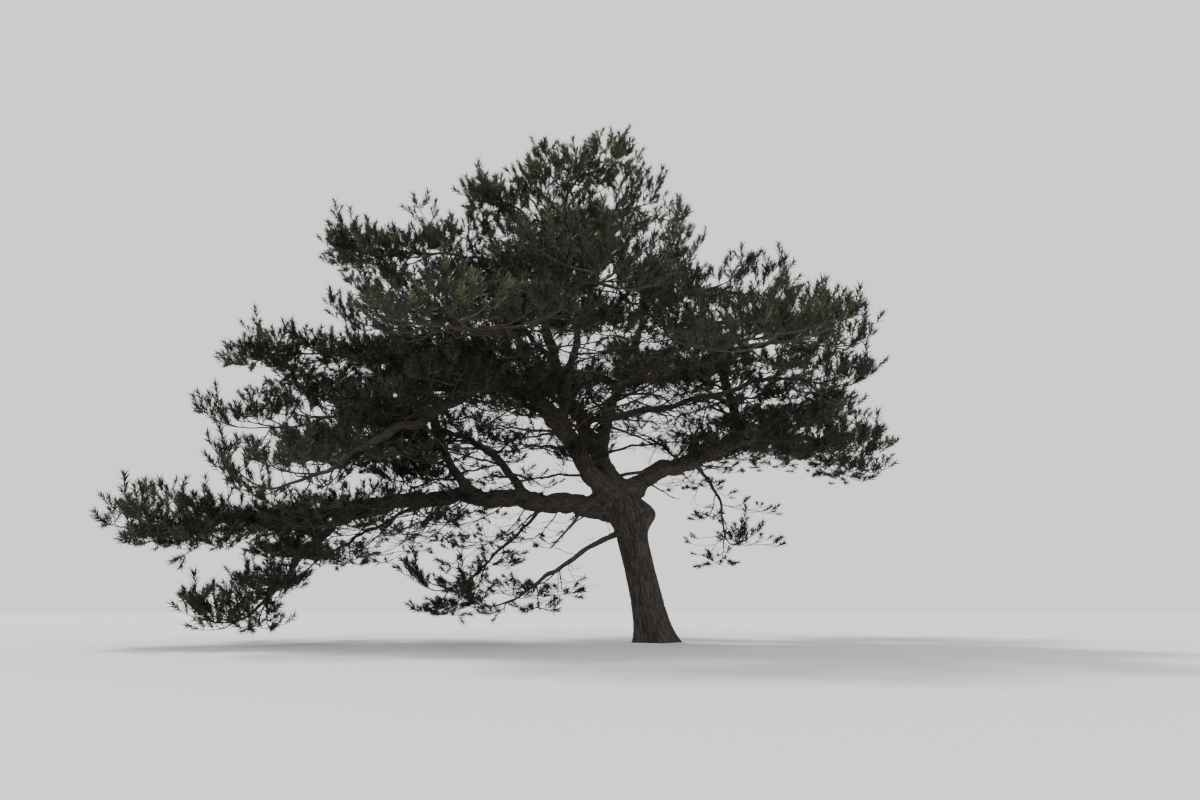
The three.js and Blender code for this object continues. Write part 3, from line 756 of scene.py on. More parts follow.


# Bark of the trunk and boughs: grey-brown plates, furrows darkened with their own dark tint and painted
# shade, and lichen on the upper sides.
def thickBark(group):
    look = barkLook
    material, tree, shader, place = newMaterial("pine bark", look["shine"])
    spot = addNode(tree, "ShaderNodeAttribute", attribute_name="barkSpot").outputs["Vector"]
    furrow = addNode(tree, "ShaderNodeAttribute", attribute_name="furrow").outputs["Fac"]
    colors = {"First": look["plate"], "Second": look["plateWarm"]}
    plates = mottled(tree, group, spot, Scale=1.3, Low=0.38, High=0.62, **colors)
    greys = mottled(tree, group, spot, Scale=4.5, Low=0.45, High=0.75)
    grey = maths(tree, "MULTIPLY", greys["Mask"], look["greyShare"])
    color = mixColor(tree, grey, plates["Color"], look["plateGrey"])
    normal = addNode(tree, "ShaderNodeNewGeometry").outputs["Normal"]
    rise = addNode(tree, "ShaderNodeSeparateXYZ", {0: normal}).outputs["Z"]
    spots = mottled(tree, group, place, Scale=7.0, Low=0.50, High=0.62)
    lichen = maths(tree, "MULTIPLY", spots["Mask"], ranged(tree, rise, -0.1, 0.9))
    color = mixColor(tree, maths(tree, "MULTIPLY", lichen, look["lichenShare"]), color, look["lichen"])
    # The furrows' dark: partly their own darker bark, partly painted shade in the recesses.
    color = mixColor(tree, maths(tree, "MULTIPLY", furrow, look["furrowDarkAndShadeShare"]), color, look["furrow"])
    splits = maths(tree, "SUBTRACT", 1.0, cracks(tree, spot, 3.4, 0.06, 3.0))
    color = mixColor(tree, maths(tree, "MULTIPLY", splits, look["splitShare"]), color, look["furrow"])
    tree.links.new(color, shader.inputs["Base Color"])
    low, high = look["roughness"]
    tree.links.new(ranged(tree, greys["Mask"], 0.0, 1.0, high, low), shader.inputs["Roughness"])
    bump(tree, shader, noise(tree, spot, 7.0, 6.0, 0.65), *look["flakes"])
    return material


# Bark of the twigs: smoother and browner, in soft patches.
def thinBark(group):
    look = twigLook
    material, tree, shader, place = newMaterial("twig bark", look["shine"])
    colors = {"First": look["dark"], "Second": look["light"]}
    patches = mottled(tree, group, place, Scale=9.0, Low=0.35, High=0.65, **colors)
    tree.links.new(patches["Color"], shader.inputs["Base Color"])
    rough = ranged(tree, patches["Mask"], 0.0, 1.0, *look["roughness"])
    tree.links.new(rough, shader.inputs["Roughness"])
    bump(tree, shader, noise(tree, place, 60.0, 3.0), *look["scales"])
    return material


needleLook = {"roughness": (0.45, 0.70), "shine": 0.35}

# The needles' plain colours, dealt out by spray in the order that toneAt counts them: one green in painted
# shade, half lit and in painted light, then the real brown of dry needles.
needleTones = {
    "shaded needles": (0.017, 0.023, 0.012, 1),
    "common needles": (0.034, 0.046, 0.021, 1),
    "fresh needles": (0.072, 0.092, 0.042, 1),
    "dry needles": (0.105, 0.072, 0.040, 1),
}


def needleMaterial(name, color):
    material, tree, shader, place = newMaterial(name, needleLook["shine"])
    rough = ranged(tree, noise(tree, place, 5.0, 2.0), 0.0, 1.0, *needleLook["roughness"])
    shader.inputs["Base Color"].default_value = color
    tree.links.new(rough, shader.inputs["Roughness"])
    return material


mottle = mottleGroup()
bark = thickBark(mottle)
twigBark = thinBark(mottle)
needleMaterials = [needleMaterial(name, color) for name, color in needleTones.items()]
barkRelief, barkSockets = barkReliefTree()
twigLines, twigSockets = twigTree()
sprays, spraySockets = sprayTree(len(needleMaterials))
print("materials and node trees ready")


def countTriangles(mesh):
    return len(mesh.loops) - 2 * len(mesh.polygons)


barkTotal = 0
for index, limb in enumerate(limbs.values()):
    mesh = trunkRings() if limb is trunk else limbRings(limb, index)
    piece = grown(limb.name + "_bark", mesh, barkRelief, barkSockets, {"Material": bark})
    if limb is trunk:
        for vertex in piece.data.vertices:
            vertex.co.z = max(vertex.co.z, 0)
    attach(piece, "root")
    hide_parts(limb.name)
    barkTotal += countTriangles(piece.data)
print("trunk and boughs barked, triangles:", barkTotal)

spraySize = {
    "length": 0.26,
    "kinds": 8,
    "pairs": 20,  # pairs of needles on a spray
    "needle": 0.102,
    "width": 0.0140,  # wider than life, as one stands for several
    "foot": 0.06,  # bare share at the foot
    "shoot": 0.72,  # share of the length that the shoot takes
    "turn": 2.39996,  # from one pair to the next
    "core": (46, 16, 1.2),  # a dense pair: its tilt, how much less that is at the tip, and its width
    "open": (78, 34, 0.85),  # a pair that stands out
    "apart": (0.05, 0.20),  # between the two needles of a pair
    "uneven": (0.82, 1.12),  # of the needles' lengths
}
twigSize = {
    "spacing": 0.390,
    "bare": 0.08,
    "turn": 58,
    "lift": 0.16,
    "root": 0.016,
    "end": 0.005,
    "steps": 6,
    "bow": (0.03, 0.11),  # how far it sags, as a share of its length
    "drift": (-0.04, 0.12),
    "stray": 0.014,
    "branchlets": 0.145,  # along a twig, counting both sides
    "along": (0.12, 0.86),  # where they start, and over what share of the twig
    "branchletTurn": (32, 62),
    "branchletRise": (-0.14, 0.26),
    "branchletLong": (0.15, 0.30),  # at the twig's tip, and how much longer at its foot
    "leafless": 0.24,  # share of a twig that has shed its needles
    "stubs": 0.5,  # share of the shed branchlets that left a stub
    "tipRise": (0.2, 0.7),
    "tipTuft": 1.1,
    "besideTuft": (0.8, 1.0),
    "finer": (0.6, 0.95),  # length of an in-between twig, as a share of the others'
    "drawsEach": 11,  # that the solids make for the forks of each twig
}

# Radii of twigs at their foot and tip.
twigRadii = {
    "shoot": (0.0045, 0.003),
    "branchlet": (0.007, 0.004),
    "candle": (0.010, 0.004),
    "stub": (0.006, 0.002),
    "drooping": (0.013, 0.005),
    "wiry": (0.0066, 0.0028),
    "fork": (0.0042, 0.002),
    "airy": (0.009, 0.004),
    "snag": (0.008, 0.003),
}

# The turn from one bough to the next that spreads them all round a steep limb.
allRound = 137.5

# What grows lower than this is left out, so that nothing dips into the ground.
leastHeight = {"spray": 0.12, "branchlet": 0.12, "twig": 0.10, "wiry": 0.15}

# Side boughs that each limb carries from a share of its length on, too many for solids of their own.
sideBoughs = {
    "spacing": 0.48,
    "turn": 62,
    "turnSteep": 78,
    "long": 9.0,  # length for each metre of the limb's radius
    "least": 0.55,
    "most": 1.6,
    "onStem": {"main_leader": 0.95, "top_right_bough": 0.6, "top_left_bough": 0.6, "others": 0.35},
    "steep": 0.65,  # rise of a limb from which they stand all round it
    "spread": 1.1,  # reach on a limb without a mass
    "thickest": 0.024,
    "near": 0.018,  # radius of the short leafy ones
    "rise": (-0.06, 0.13),
    "sweep": (-0.12, 0.12),
    "sag": 0.05,
    "steps": 8,
    "stray": 0.016,
    "tip": 0.006,
    "twigs": 0.21,  # between its twigs
    "along": (0.25, 0.72),  # where they start, and over what share of it
    "twigTurn": (42, 66),
    "twigRise": (-0.12, 0.20),
    "twigLong": (0.28, 0.85),
    "twigShare": 0.55,  # of its own length, for the longest twigs
    "upright": (0.7, 0.22),  # share of it with upright branchlets, and how far apart they are
    "uprightLong": (0.12, 0.22),
    "tipTufts": 3,
    "tuft": (0.85, 1.1),
    "from": {
        "left_bough": 0.62,
        "left_far_bough": 0.25,
        "left_riser": 0.45,
        "left_slanting_riser": 0.5,
        "left_under_bough": 0.5,
        "left_leader": 0.72,
        "arching_bough": 0.2,
        "left_middle_bough": 0.2,
        "left_upper_bough": 0.2,
        "front_left_bough": 0.4,
        "main_leader": 0.42,
        "top_left_bough": 0.2,
        "crown_left_bough": 0.3,
        "middle_left_bough": 0.2,
        "front_high_bough": 0.35,
        "top_right_bough": 0.2,
        "long_right_bough": 0.5,
        "right_stem": 0.5,
        "back_right_bough": 0.45,
        "back_left_bough": 0.5,
        "right_leader": 0.45,
        "right_upper_bough": 0.45,
        "right_middle_bough": 0.35,
        "front_right_bough": 0.5,
        "right_low_bough": 0.3,
        "right_back_bough": 0.6,
    },
}

# Slender boughs that hang from a limb and its stem: from and to which share of both, how many,
# how long, and how many of their twigs bear needles.
droopingBoughs = {
    "left_bough": (0.13, 0.62, 13, 1.7, 0.36),
    "left_far_bough": (0.20, 0.85, 8, 0.8, 0.6),
    "left_upper_bough": (0.60, 0.98, 5, 0.8, 1.0),
    "left_under_bough": (0.2, 0.8, 2, 0.7, 0.8),
    "low_bough": (0.4, 0.9, 4, 0.7, 0.5),
    "hanging_bough": (0.35, 0.95, 6, 0.8, 0.5),
    "right_hanging_bough": (0.4, 0.9, 3, 0.6, 0.6),
    "right_bough": (0.45, 0.9, 3, 1.1, 0.6),
    "right_low_bough": (0.3, 0.72, 5, 0.9, 0.9),
    "right_back_bough": (0.4, 0.8, 4, 1.0, 0.8),
    "arching_bough": (0.25, 0.85, 6, 0.9, 1.0),
    "long_right_bough": (0.5, 0.8, 3, 0.8, 0.8),
}

# Slender, nearly level boughs inside the crown, leafy only near their tips: from and to which share
# of the limb, how many and how long.
slenderBoughs = {
    "main_leader": (0.14, 0.48, 16, 2.0),
    "left_leader": (0.25, 0.95, 14, 1.6),
    "right_stem": (0.14, 0.50, 15, 1.8),
    "long_right_bough": (0.12, 0.62, 7, 1.0),
    "left_slanting_riser": (0.20, 0.80, 9, 1.1),
    "left_riser": (0.25, 0.80, 7, 1.0),
    "left_bough": (0.20, 0.80, 5, 1.2),
    "right_bough": (0.35, 0.95, 14, 1.4),
    "right_leader": (0.08, 0.45, 9, 1.6),
    "arching_bough": (0.05, 0.60, 9, 1.2),
    "right_low_bough": (0.10, 0.60, 5, 1.1),
}

# Short leafy boughs that fill the crown's near side, its back and its tips, by the limb that bears
# them: share of the limb, past 1 on its stem, then bearing, rise and length.
nearBoughs = {
    "main_leader": [
        (0.22, 262, 0.35, 0.45), (0.34, 250, 0.20, 0.55), (0.55, 250, 0.30, 1.10),
        (0.62, 290, 0.30, 1.10), (0.70, 235, 0.30, 1.00), (0.78, 300, 0.35, 0.95),
        (0.86, 262, 0.40, 0.90), (0.90, 345, 0.25, 1.05), (0.93, 215, 0.40, 0.90),
        (0.98, 320, 0.45, 0.85), (0.66, 262, 0.30, 0.95), (0.80, 225, 0.30, 0.95),
        (0.90, 285, 0.35, 0.90), (0.96, 20, 0.10, 0.90), (1.00, 10, 0.35, 0.95),
        (1.03, 345, 0.05, 0.80), (1.04, 190, 0.50, 0.80), (1.08, 60, 0.50, 0.75),
        (1.06, 235, 0.80, 0.85), (1.13, 270, 0.60, 0.65), (1.14, 200, 0.75, 0.80),
        (1.22, 215, 0.70, 0.70), (1.30, 350, 0.20, 0.70),
    ],
    "left_leader": [
        (0.30, 255, 0.20, 0.55), (0.55, 245, 0.25, 0.75), (0.78, 258, 0.30, 0.75),
    ],
    "left_riser": [
        (0.60, 250, 0.35, 0.55), (0.92, 200, 0.05, 0.80),
    ],
    "left_slanting_riser": [
        (0.55, 262, 0.30, 0.55),
    ],
    "left_bough": [
        (0.60, 200, 0.55, 0.80), (0.68, 150, 0.50, 0.80),
    ],
    "left_far_bough": [
        (0.40, 225, -0.35, 0.85), (0.58, 190, -0.35, 0.80), (0.75, 165, -0.30, 0.80),
        (0.88, 220, -0.25, 0.70), (1.35, 225, -0.45, 0.70), (1.60, 200, -0.50, 0.70),
        (1.85, 235, -0.50, 0.55), (2.02, 150, -0.45, 0.50),
    ],
    "left_upper_bough": [
        (0.80, 200, -0.20, 0.85), (0.96, 165, -0.15, 0.85), (1.55, 235, -0.40, 0.70),
        (1.80, 200, -0.35, 0.75), (2.05, 232, -0.40, 0.60), (2.20, 172, -0.35, 0.55),
    ],
    "left_middle_bough": [
        (1.14, 240, 0.10, 0.60), (1.50, 240, 0.10, 0.70), (1.80, 200, 0.20, 0.70),
        (2.10, 235, 0.10, 0.65),
    ],
    "crown_left_bough": [
        (1.10, 200, -0.45, 0.70), (1.45, 262, 0.70, 0.55), (1.80, 110, 0.70, 0.55),
        (2.00, 240, -0.40, 0.80), (2.60, 215, -0.35, 0.75), (3.00, 245, -0.30, 0.60),
        (2.75, 183, -0.15, 0.85), (0.70, 230, -0.20, 0.80),
    ],
    "top_left_bough": [
        (0.80, 200, 0.80, 0.75), (1.30, 120, 0.80, 0.70),
    ],
    "top_right_bough": [
        (0.75, 20, 0.90, 0.80), (1.00, 330, 0.90, 0.75),
    ],
    "front_left_bough": [
        (1.20, 262, 0.55, 0.50), (1.55, 235, 0.55, 0.45), (1.90, 300, 0.55, 0.45),
    ],
    "front_high_bough": [
        (0.90, 240, 0.40, 0.65), (1.20, 300, 0.40, 0.65),
    ],
    "right_stem": [
        (0.35, 290, 0.25, 0.45), (0.95, 110, 0.15, 1.00), (1.15, 60, 0.10, 0.90),
    ],
    "long_right_bough": [
        (0.55, 255, 0.20, 0.45),
    ],
    "right_bough": [
        (0.45, 285, 0.50, 0.40), (0.70, 300, 0.45, 0.60),
    ],
    "right_leader": [
        (0.30, 250, 0.20, 0.60), (0.55, 230, 0.20, 0.65), (0.90, 235, 0.30, 0.90),
        (1.02, 190, 0.40, 0.90), (1.12, 150, 0.45, 0.80),
    ],
    "arching_bough": [
        (0.16, 255, 0.20, 0.60), (0.30, 250, 0.15, 0.65), (0.46, 262, 0.25, 0.70),
        (0.62, 160, -0.35, 0.75), (0.72, 262, 0.25, 0.60), (0.98, 258, 0.25, 0.60),
        (0.78, 205, -0.25, 0.80),
    ],
    "back_left_bough": [
        (0.85, 75, 0.20, 1.00), (1.25, 70, 0.10, 1.20), (1.60, 75, 0.10, 1.10),
        (1.10, 175, 0.15, 1.00), (1.50, 180, 0.10, 0.95),
    ],
    "back_right_bough": [
        (0.90, 130, 0.15, 1.10), (1.30, 130, 0.10, 1.10), (1.10, 30, 0.10, 1.10),
        (1.55, 35, 0.05, 1.00),
    ],
    "right_back_bough": [
        (0.95, 95, 0.25, 1.10), (1.35, 95, 0.20, 1.10), (1.20, 350, 0.10, 0.90),
    ],
}

# Dead, broken branches at the fork: share of the limb, bearing, rise, length and radius.
deadBranches = {
    "main_leader": [
        (0.06, 240, -0.50, 1.90, 0.042), (0.02, 250, -0.80, 0.55, 0.030),
        (0.08, 335, 0.14, 1.90, 0.034),
    ],
    "left_bough": [
        (0.10, 240, -0.35, 0.85, 0.022), (0.22, 225, -0.25, 0.70, 0.018),
    ],
    "right_bough": [
        (0.20, 300, -0.30, 0.80, 0.020),
    ],
}
deadSize = {
    "sag": 0.12,
    "steps": 7,
    "stray": 0.015,
    "taper": 0.3,
    "snags": (4, 5, 6, 7),  # at which of its steps
    "snagLong": (0.08, 0.30),
}

# Masses under the crown that are thin enough to see through.
airyMasses = ("hanging_bough", "low_bough", "right_hanging_bough")

# Masses with sky between their twigs: the share of the in-between twigs that each has.
thinMasses = {
    "back_left_bough": 0.7,
    "back_right_bough": 0.75,
    "right_back_bough": 0.65,
    "front_left_bough": 0.5,
    "front_right_bough": 0.35,
    "top_right_bough": 0.3,
    "right_stem": 0.6,
    "right_middle_bough": 0.3,
    "right_upper_bough": 0.2,
    "left_upper_bough": 0.5,
    "arching_bough": 0.4,
    "left_middle_bough": 0.5,
    "crown_left_bough": 0.8,
    "middle_left_bough": 0.5,
}

# Masses on the near side, whose stems are hidden under upright shoots.
crestedMasses = ("front_left_bough", "front_right_bough", "front_high_bough", "arching_bough")

# How far the twigs of a limb lean down from the limb's own rise.
sinks = {
    "crown_left_bough": 0.22,
    "left_upper_bough": 0.26,
    "left_far_bough": 0.20,
    "left_middle_bough": 0.10,
}

# Wiry twigs, nearly all of them bare, on the inner, shaded lengths of the limbs.
wiryTwigs = {
    "spacing": 0.20,
    "long": 0.62,
    "uneven": (0.4, 1.3),
    "from": 0.12,
    "overlap": 0.25,  # how far they go on among the side boughs
    "tufted": 0.14,
    "bend": (-0.22, 0.22),
    "lift": (-0.10, 0.28),
    "forks": 0.22,  # between its forks
    "forkLong": (0.2, 0.4),
    "tipTuft": (0.65, 1.0),
    "forkTuft": (0.6, 0.9),
}

# Rounded spaces where few needles grow, the shaded heart of the crown and the air below it:
# each has its middle, its half sizes and the share of the needles that grow there all the same.
clearings = [
    ((-1.1, 0.5, 3.9), (2.9, 3.2, 1.7), 0.20),
    ((-2.1, 0, 2.95), (1.9, 6, 0.70), 0.45),
    ((-4.6, 0, 1.85), (1.1, 6, 0.45), 0.30),
    ((0.9, 0, 3.10), (1.0, 5, 0.42), 0.30),
]


# How far a spot lies from the middle of a rounded space on each axis, 1 at its edge.
def offsetsIn(spot, middle, halves):
    return [(value - mid) / half for value, mid, half in zip(spot, middle, halves)]


def lightAt(spot):
    shares = [1]
    for middle, halves, share in clearings:
        if sum(offset**2 for offset in offsetsIn(spot, middle, halves)) < 1:
            shares.append(share)
    return min(shares)


# One upright spray of needle pairs round the growing tip, as a plain mesh of slim triangles. Every
# other pair stands out from the dense core.
def sprayMesh(kind):
    dice = Dice(treeSeed * 7 + kind)
    size = spraySize
    points, faces = [], []
    for k in range(size["pairs"]):
        share = size["foot"] + (1 - size["foot"]) * ((k + dice.roll()) / size["pairs"]) ** 0.75
        turn = k * size["turn"] + dice.between(-0.35, 0.35)
        slope, less, broad = size["open" if k % 2 else "core"]
        tilt = math.radians(slope - less * share + dice.between(-10, 10))
        wide = size["width"] * broad
        out = Vector((math.cos(turn), math.sin(turn), 0))
        root = up * (size["length"] * share * size["shoot"]) + out * 0.005
        for sign in (-1, 1):
            way = out * math.sin(tilt) + up * math.cos(tilt)
            way = (way + sideOf(way) * sign * dice.between(*size["apart"])).normalized()
            long = size["needle"] * dice.between(*size["uneven"]) * (0.85 if share < 0.2 else 1)
            across = way.cross(out + dice.stray(0.8)).normalized() * wide / 2
            first = len(points)
            points += [root - across, root + across, root + way * long + up * long * 0.10]
            faces.append((first, first + 1, first + 2))
    mesh = bpy.data.meshes.new(f"spray_kind_{kind}")
    mesh.from_pydata(points, [], faces)
    return mesh


# The level direction square to a heading.
def sideOf(ahead):
    return ahead.cross(up).normalized()


# A heading turned towards another direction.
def turned(ahead, aside, degrees):
    turn = math.radians(degrees)
    return ahead * math.cos(turn) + aside * math.sin(turn)


# The direction square to a heading that is turned round it from the level one.
def roundOf(ahead, degrees):
    across = sideOf(ahead)
    return turned(across, ahead.cross(across), degrees)


# The next of some places spread over a stretch, which says where it starts and how long it is.
def placeOn(stretch, place, count):
    start, long = stretch
    return start + long * place / count


def eitherSide(k):
    return 1 if k % 2 else -1


def towards(bearing, rise):
    turn = math.radians(bearing)
    return Vector((math.cos(turn), math.sin(turn), rise)).normalized()


sprayKinds = bpy.data.collections.new("spray kinds")
for kind in range(spraySize["kinds"]):
    sprayKinds.objects.link(bpy.data.objects.new(f"spray_kind_{kind}", sprayMesh(kind)))


# How the needles' colours are dealt out: painted shade on the inner and lower sprays, painted light on the
# outer and upper ones.
toneSize = {
    "middle": (-1.2, 0.5, 4.4),
    "halves": (6.4, 5.6, 4.6),
    "outward": 0.7,  # how much the way out and the height lighten them
    "upward": 0.3,
    "uneven": 0.28,
    # Where the painted light passes into the common and then the lit needles.
    "common": 0.50,
    "paintedLit": 0.88,
    "dry": 0.003,
}


# Painted light and shade: the farther out and the higher a spray's tip, the lighter its green, with a few
# dry ones at random.
def toneAt(spot, dice):
    size = toneSize
    offsets = offsetsIn(spot, size["middle"], size["halves"])
    light = math.hypot(*offsets) * size["outward"] + offsets[2] * size["upward"]
    light += dice.between(-size["uneven"], size["uneven"])
    if dice.roll() < size["dry"]:
        return 3
    return int(light > size["common"]) + int(light > size["paintedLit"])


# What a region of the crown gathers as it grows: its twigs' lines and its sprays.
class Region:
    def __init__(self):
        self.lines = []
        self.sprays = []
        self.shaded = True  # whether the clearings keep its needles away

    def addLine(self, spots, root, end):
        self.lines.append(([tuple(spot) for spot in spots], root, end))

    def addSpray(self, spot, aim, size, dice):
        aim = aim.normalized()
        tip = spot + aim * spraySize["length"] * size
        inside = all(low <= value <= high for low, value, high in zip(leastCorner, tip, mostCorner))
        if not inside or spot.z < leastHeight["spray"]:
            return
        if self.shaded and dice.roll() > lightAt(tip):
            return
        tone = toneAt(tip, dice)
        shape = int(dice.roll() * spraySize["kinds"])
        self.sprays.append((tuple(spot), tuple(aim), dice.between(0, 2 * math.pi), size, shape, tone))
        shoot = [spot - aim * 0.01, spot + aim * spraySize["length"] * size * 0.74]
        self.addLine(shoot, *twigRadii["shoot"])


# A margin round the solids' box, 1.5% of its size on each axis and 2 mm more: sprays whose tips fall outside
# it are left out.
allowed = [0.015 * (high - low) + 0.002 for low, high in zip(*solidsBox)]
leastCorner = [low - room for low, room in zip(solidsBox[0], allowed)]
mostCorner = [high + room for high, room in zip(solidsBox[1], allowed)]


# How long the twigs are along a stem, as a share of the longest.
def outline(t):
    return math.sin(math.pi * (0.22 + 0.66 * t)) ** 0.7


# The spot at a share of the way along a line of spots.
def along(spots, share):
    place = min(max(share, 0), 0.9999) * (len(spots) - 1)
    step = int(place)
    return spots[step].lerp(spots[step + 1], place - step)


branchletSize = {
    "lift": (0.10, 0.45),
    "tipRise": (0.3, 0.9),
    "tipTuft": (0.85, 1.15),
    "spacing": 0.115,
    "along": (0.30, 0.62),  # where the tufts start, and over what share of it
    "forward": 0.45,
    "lean": (0.3, 0.9),  # of its tufts to the sides, and upwards
    "rise": (0.6, 1.5),
    "tuft": (0.7, 1.05),
}


# A small shoot with a tuft at its tip and others to its sides, all turned up towards the light.
def growBranchlet(region, dice, root, way, long):
    size = branchletSize
    lift = dice.between(*size["lift"])
    spots = [root + way * long * t + up * long * lift * t * t for t in (0, 1 / 3, 2 / 3, 1)]
    if spots[-1].z < leastHeight["branchlet"]:
        return
    region.addLine(spots, *twigRadii["branchlet"])
    end = (spots[3] - spots[2]).normalized()
    aim = end + up * dice.between(*size["tipRise"]) + dice.stray(0.15)
    region.addSpray(spots[3], aim, dice.between(*size["tipTuft"]), dice)
    side = sideOf(way)
    count = int(long / size["spacing"])
    for k in range(count):
        spot = along(spots, placeOn(size["along"], k + dice.roll(), count))
        lean = side * eitherSide(k) * dice.between(*size["lean"])
        aim = end * size["forward"] + lean + up * dice.between(*size["rise"])
        region.addSpray(spot, aim, dice.between(*size["tuft"]), dice)


candleSize = {
    "long": (0.42, 0.60),
    "steps": 6,
    "forward": (0.85, 0.25),  # how far it reaches, less this much as it turns up
    "rise": 0.9,
    "upright": 1.7,  # how late it turns up
    "stray": 0.5,
    "tuft": (0.8, 1.05),
    "tipTuft": 1.3,
}


# The leading shoot of a limb, which turns upright and is tufted all along.
def growCandle(region, dice, root, way):
    size, last = candleSize, candleSize["steps"]
    long = dice.between(*size["long"])
    flat = (way * Vector((1, 1, 0.3))).normalized()
    far, less = size["forward"]
    spots = []
    for t in np.linspace(0, 1, last + 1):
        spot = root + flat * long * (far * t - less * t * t)
        spots.append(spot + up * long * size["rise"] * t ** size["upright"])
    region.addLine(spots, *twigRadii["candle"])
    for step in range(1, last + 1):
        aim = (spots[step] - spots[step - 1]).normalized() + up * 0.3
        for _ in range(2 if step < last else 0):
            lean = dice.stray(size["stray"])
            region.addSpray(spots[step], aim + lean, dice.between(*size["tuft"]), dice)
    region.addSpray(spots[last], aim + dice.stray(0.1), size["tipTuft"], dice)


# A twig of a mass or side bough, with branchlets to both sides and a tufted tip.
def growTwig(region, dice, root, out, ahead, long):
    size, count = twigSize, twigSize["steps"]
    bow, drift = dice.between(*size["bow"]), dice.between(*size["drift"])
    spots = []
    for k in range(count + 1):
        share = k / count
        arch = math.sin(math.pi * share)
        spot = root + out * long * share - up * long * bow * arch + ahead * long * drift * arch
        spots.append(spot + dice.stray(size["stray"]) * (0 < k < count))
    if min(spot.z for spot in spots) < leastHeight["twig"]:
        return
    region.addLine(spots, size["root"] * (0.6 + 0.4 * min(1, long)), size["end"])
    side = sideOf(out)
    branchlets = max(3, int(long / size["branchlets"]))
    first = dice.roll() < 0.5
    for k in range(branchlets):
        share = placeOn(size["along"], k + dice.between(0.2, 0.8), branchlets)
        spot = along(spots, share)
        sign = 1 if (k % 2 == 0) == first else -1
        way = turned(out, side * sign, dice.between(*size["branchletTurn"]))
        way = (way + up * dice.between(*size["branchletRise"])).normalized()
        least, more = size["branchletLong"]
        reach = (least + more * (1 - share) ** 0.8) * dice.between(0.8, 1.2) * min(1, 0.45 + long)
        if share >= size["leafless"]:
            growBranchlet(region, dice, spot, way, reach)
        elif dice.roll() < size["stubs"]:
            stub = [spot, spot + way * reach * 0.6, spot + way * reach - up * reach * 0.1]
            region.addLine(stub, *twigRadii["stub"])
    end = (spots[-1] - spots[-2]).normalized()
    region.addSpray(spots[-1], end + up * dice.between(*size["tipRise"]), size["tipTuft"], dice)
    for _ in range(2):
        aim = end + up * 0.5 + dice.stray(0.8)
        region.addSpray(spots[-1] - end * 0.05, aim, dice.between(*size["besideTuft"]), dice)


# A side bough: a slender limb that lifts at its tip, with twigs to both sides.
def growBough(region, dice, root, way, long, thick):
    size, count = sideBoughs, sideBoughs["steps"]
    rise, sweep = dice.between(*size["rise"]), dice.between(*size["sweep"])
    side = sideOf(way)
    spots = []
    for k in range(count + 1):
        share = k / count
        arch = math.sin(math.pi * share)
        spot = root + way * long * share + up * long * (rise * share * share - size["sag"] * arch)
        spot = spot + side * long * sweep * arch
        spots.append(spot + dice.stray(size["stray"]) * (0 < k < count))
    region.addLine(spots, thick, size["tip"])
    twigs = max(3, int(long / size["twigs"]))
    for k in range(twigs):
        share = placeOn(size["along"], k + dice.between(0.2, 0.8), twigs)
        out = turned(way, side * eitherSide(k), dice.between(*size["twigTurn"]))
        out = (out + up * dice.between(*size["twigRise"])).normalized()
        least, most = size["twigLong"]
        reach = long * size["twigShare"] * outline(share) * dice.between(0.7, 1.1)
        growTwig(region, dice, along(spots, share), out, way, max(least, min(most, reach)))
    leafy, apart = size["upright"]
    for _ in range(int(long * leafy / apart)):
        spot = along(spots, 0.35 + 0.6 * dice.roll())
        lean = way * 0.6 + side * dice.between(-0.9, 0.9) + up * dice.between(0.2, 0.7)
        growBranchlet(region, dice, spot, lean.normalized(), dice.between(*size["uprightLong"]))
    ahead = (spots[-1] - spots[-2]).normalized()
    for _ in range(size["tipTufts"]):
        aim = ahead + up * dice.between(0.2, 0.9) + dice.stray(0.5)
        region.addSpray(spots[-1], aim, dice.between(*size["tuft"]), dice)


# The side boughs of one limb and its stem: to both sides where it is level, all round where steep.
def growSides(region, limb, index):
    size = sideBoughs
    first = size["from"].get(limb.name)
    if first is None:
        return
    dice = Dice(treeSeed * 3000 + 13 * index)
    start, stop = first * limb.bend.length, limb.bend.length
    spread = size["spread"]
    if limb.stem is not None:
        stop += size["onStem"].get(limb.name, size["onStem"]["others"]) * limb.stem.length
        spread = limb.spread
    count = max(1, int((stop - start) / size["spacing"] + 0.5))
    for k in range(count):
        reach = placeOn((start, stop - start), k + dice.between(0.15, 0.85), count)
        root, ahead = limb.standAt(reach)
        steep = abs(ahead.z) > size["steep"]
        angle = allRound * k + dice.between(-30, 30) if steep else 180 * k + dice.between(-18, 18)
        turn = size["turnSteep" if steep else "turn"] * dice.between(0.8, 1.15)
        way = turned(ahead, roundOf(ahead, -angle), turn)
        way = (way * Vector((1, 1, 0.4)) - up * sinks.get(limb.name, 0)).normalized()
        radius = limb.radiusAt(reach)
        inner = min(1, reach / limb.bend.length)
        long = max(size["least"] + size["long"] * radius, spread * (1.25 - 0.55 * reach / limb.length))
        long = min(long, size["most"]) * dice.between(0.75, 1.15) * (0.7 + 0.3 * inner)
        if steep:
            long *= 1.1 - 0.65 * reach / limb.length
        growBough(region, dice, root, way, long, min(size["thickest"], radius * 0.45))


# A wiry twig to each side of a spot.
def growPair(region, dice, spot, ahead, size, long, leafy):
    for sign in (-1, 1):
        out = ahead * dice.between(*size["forward"]) + sideOf(ahead) * sign
        out = (out + up * dice.between(*size["rise"])).normalized()
        growSparse(region, dice, spot, out, long * dice.between(*size["twigs"]), leafy)


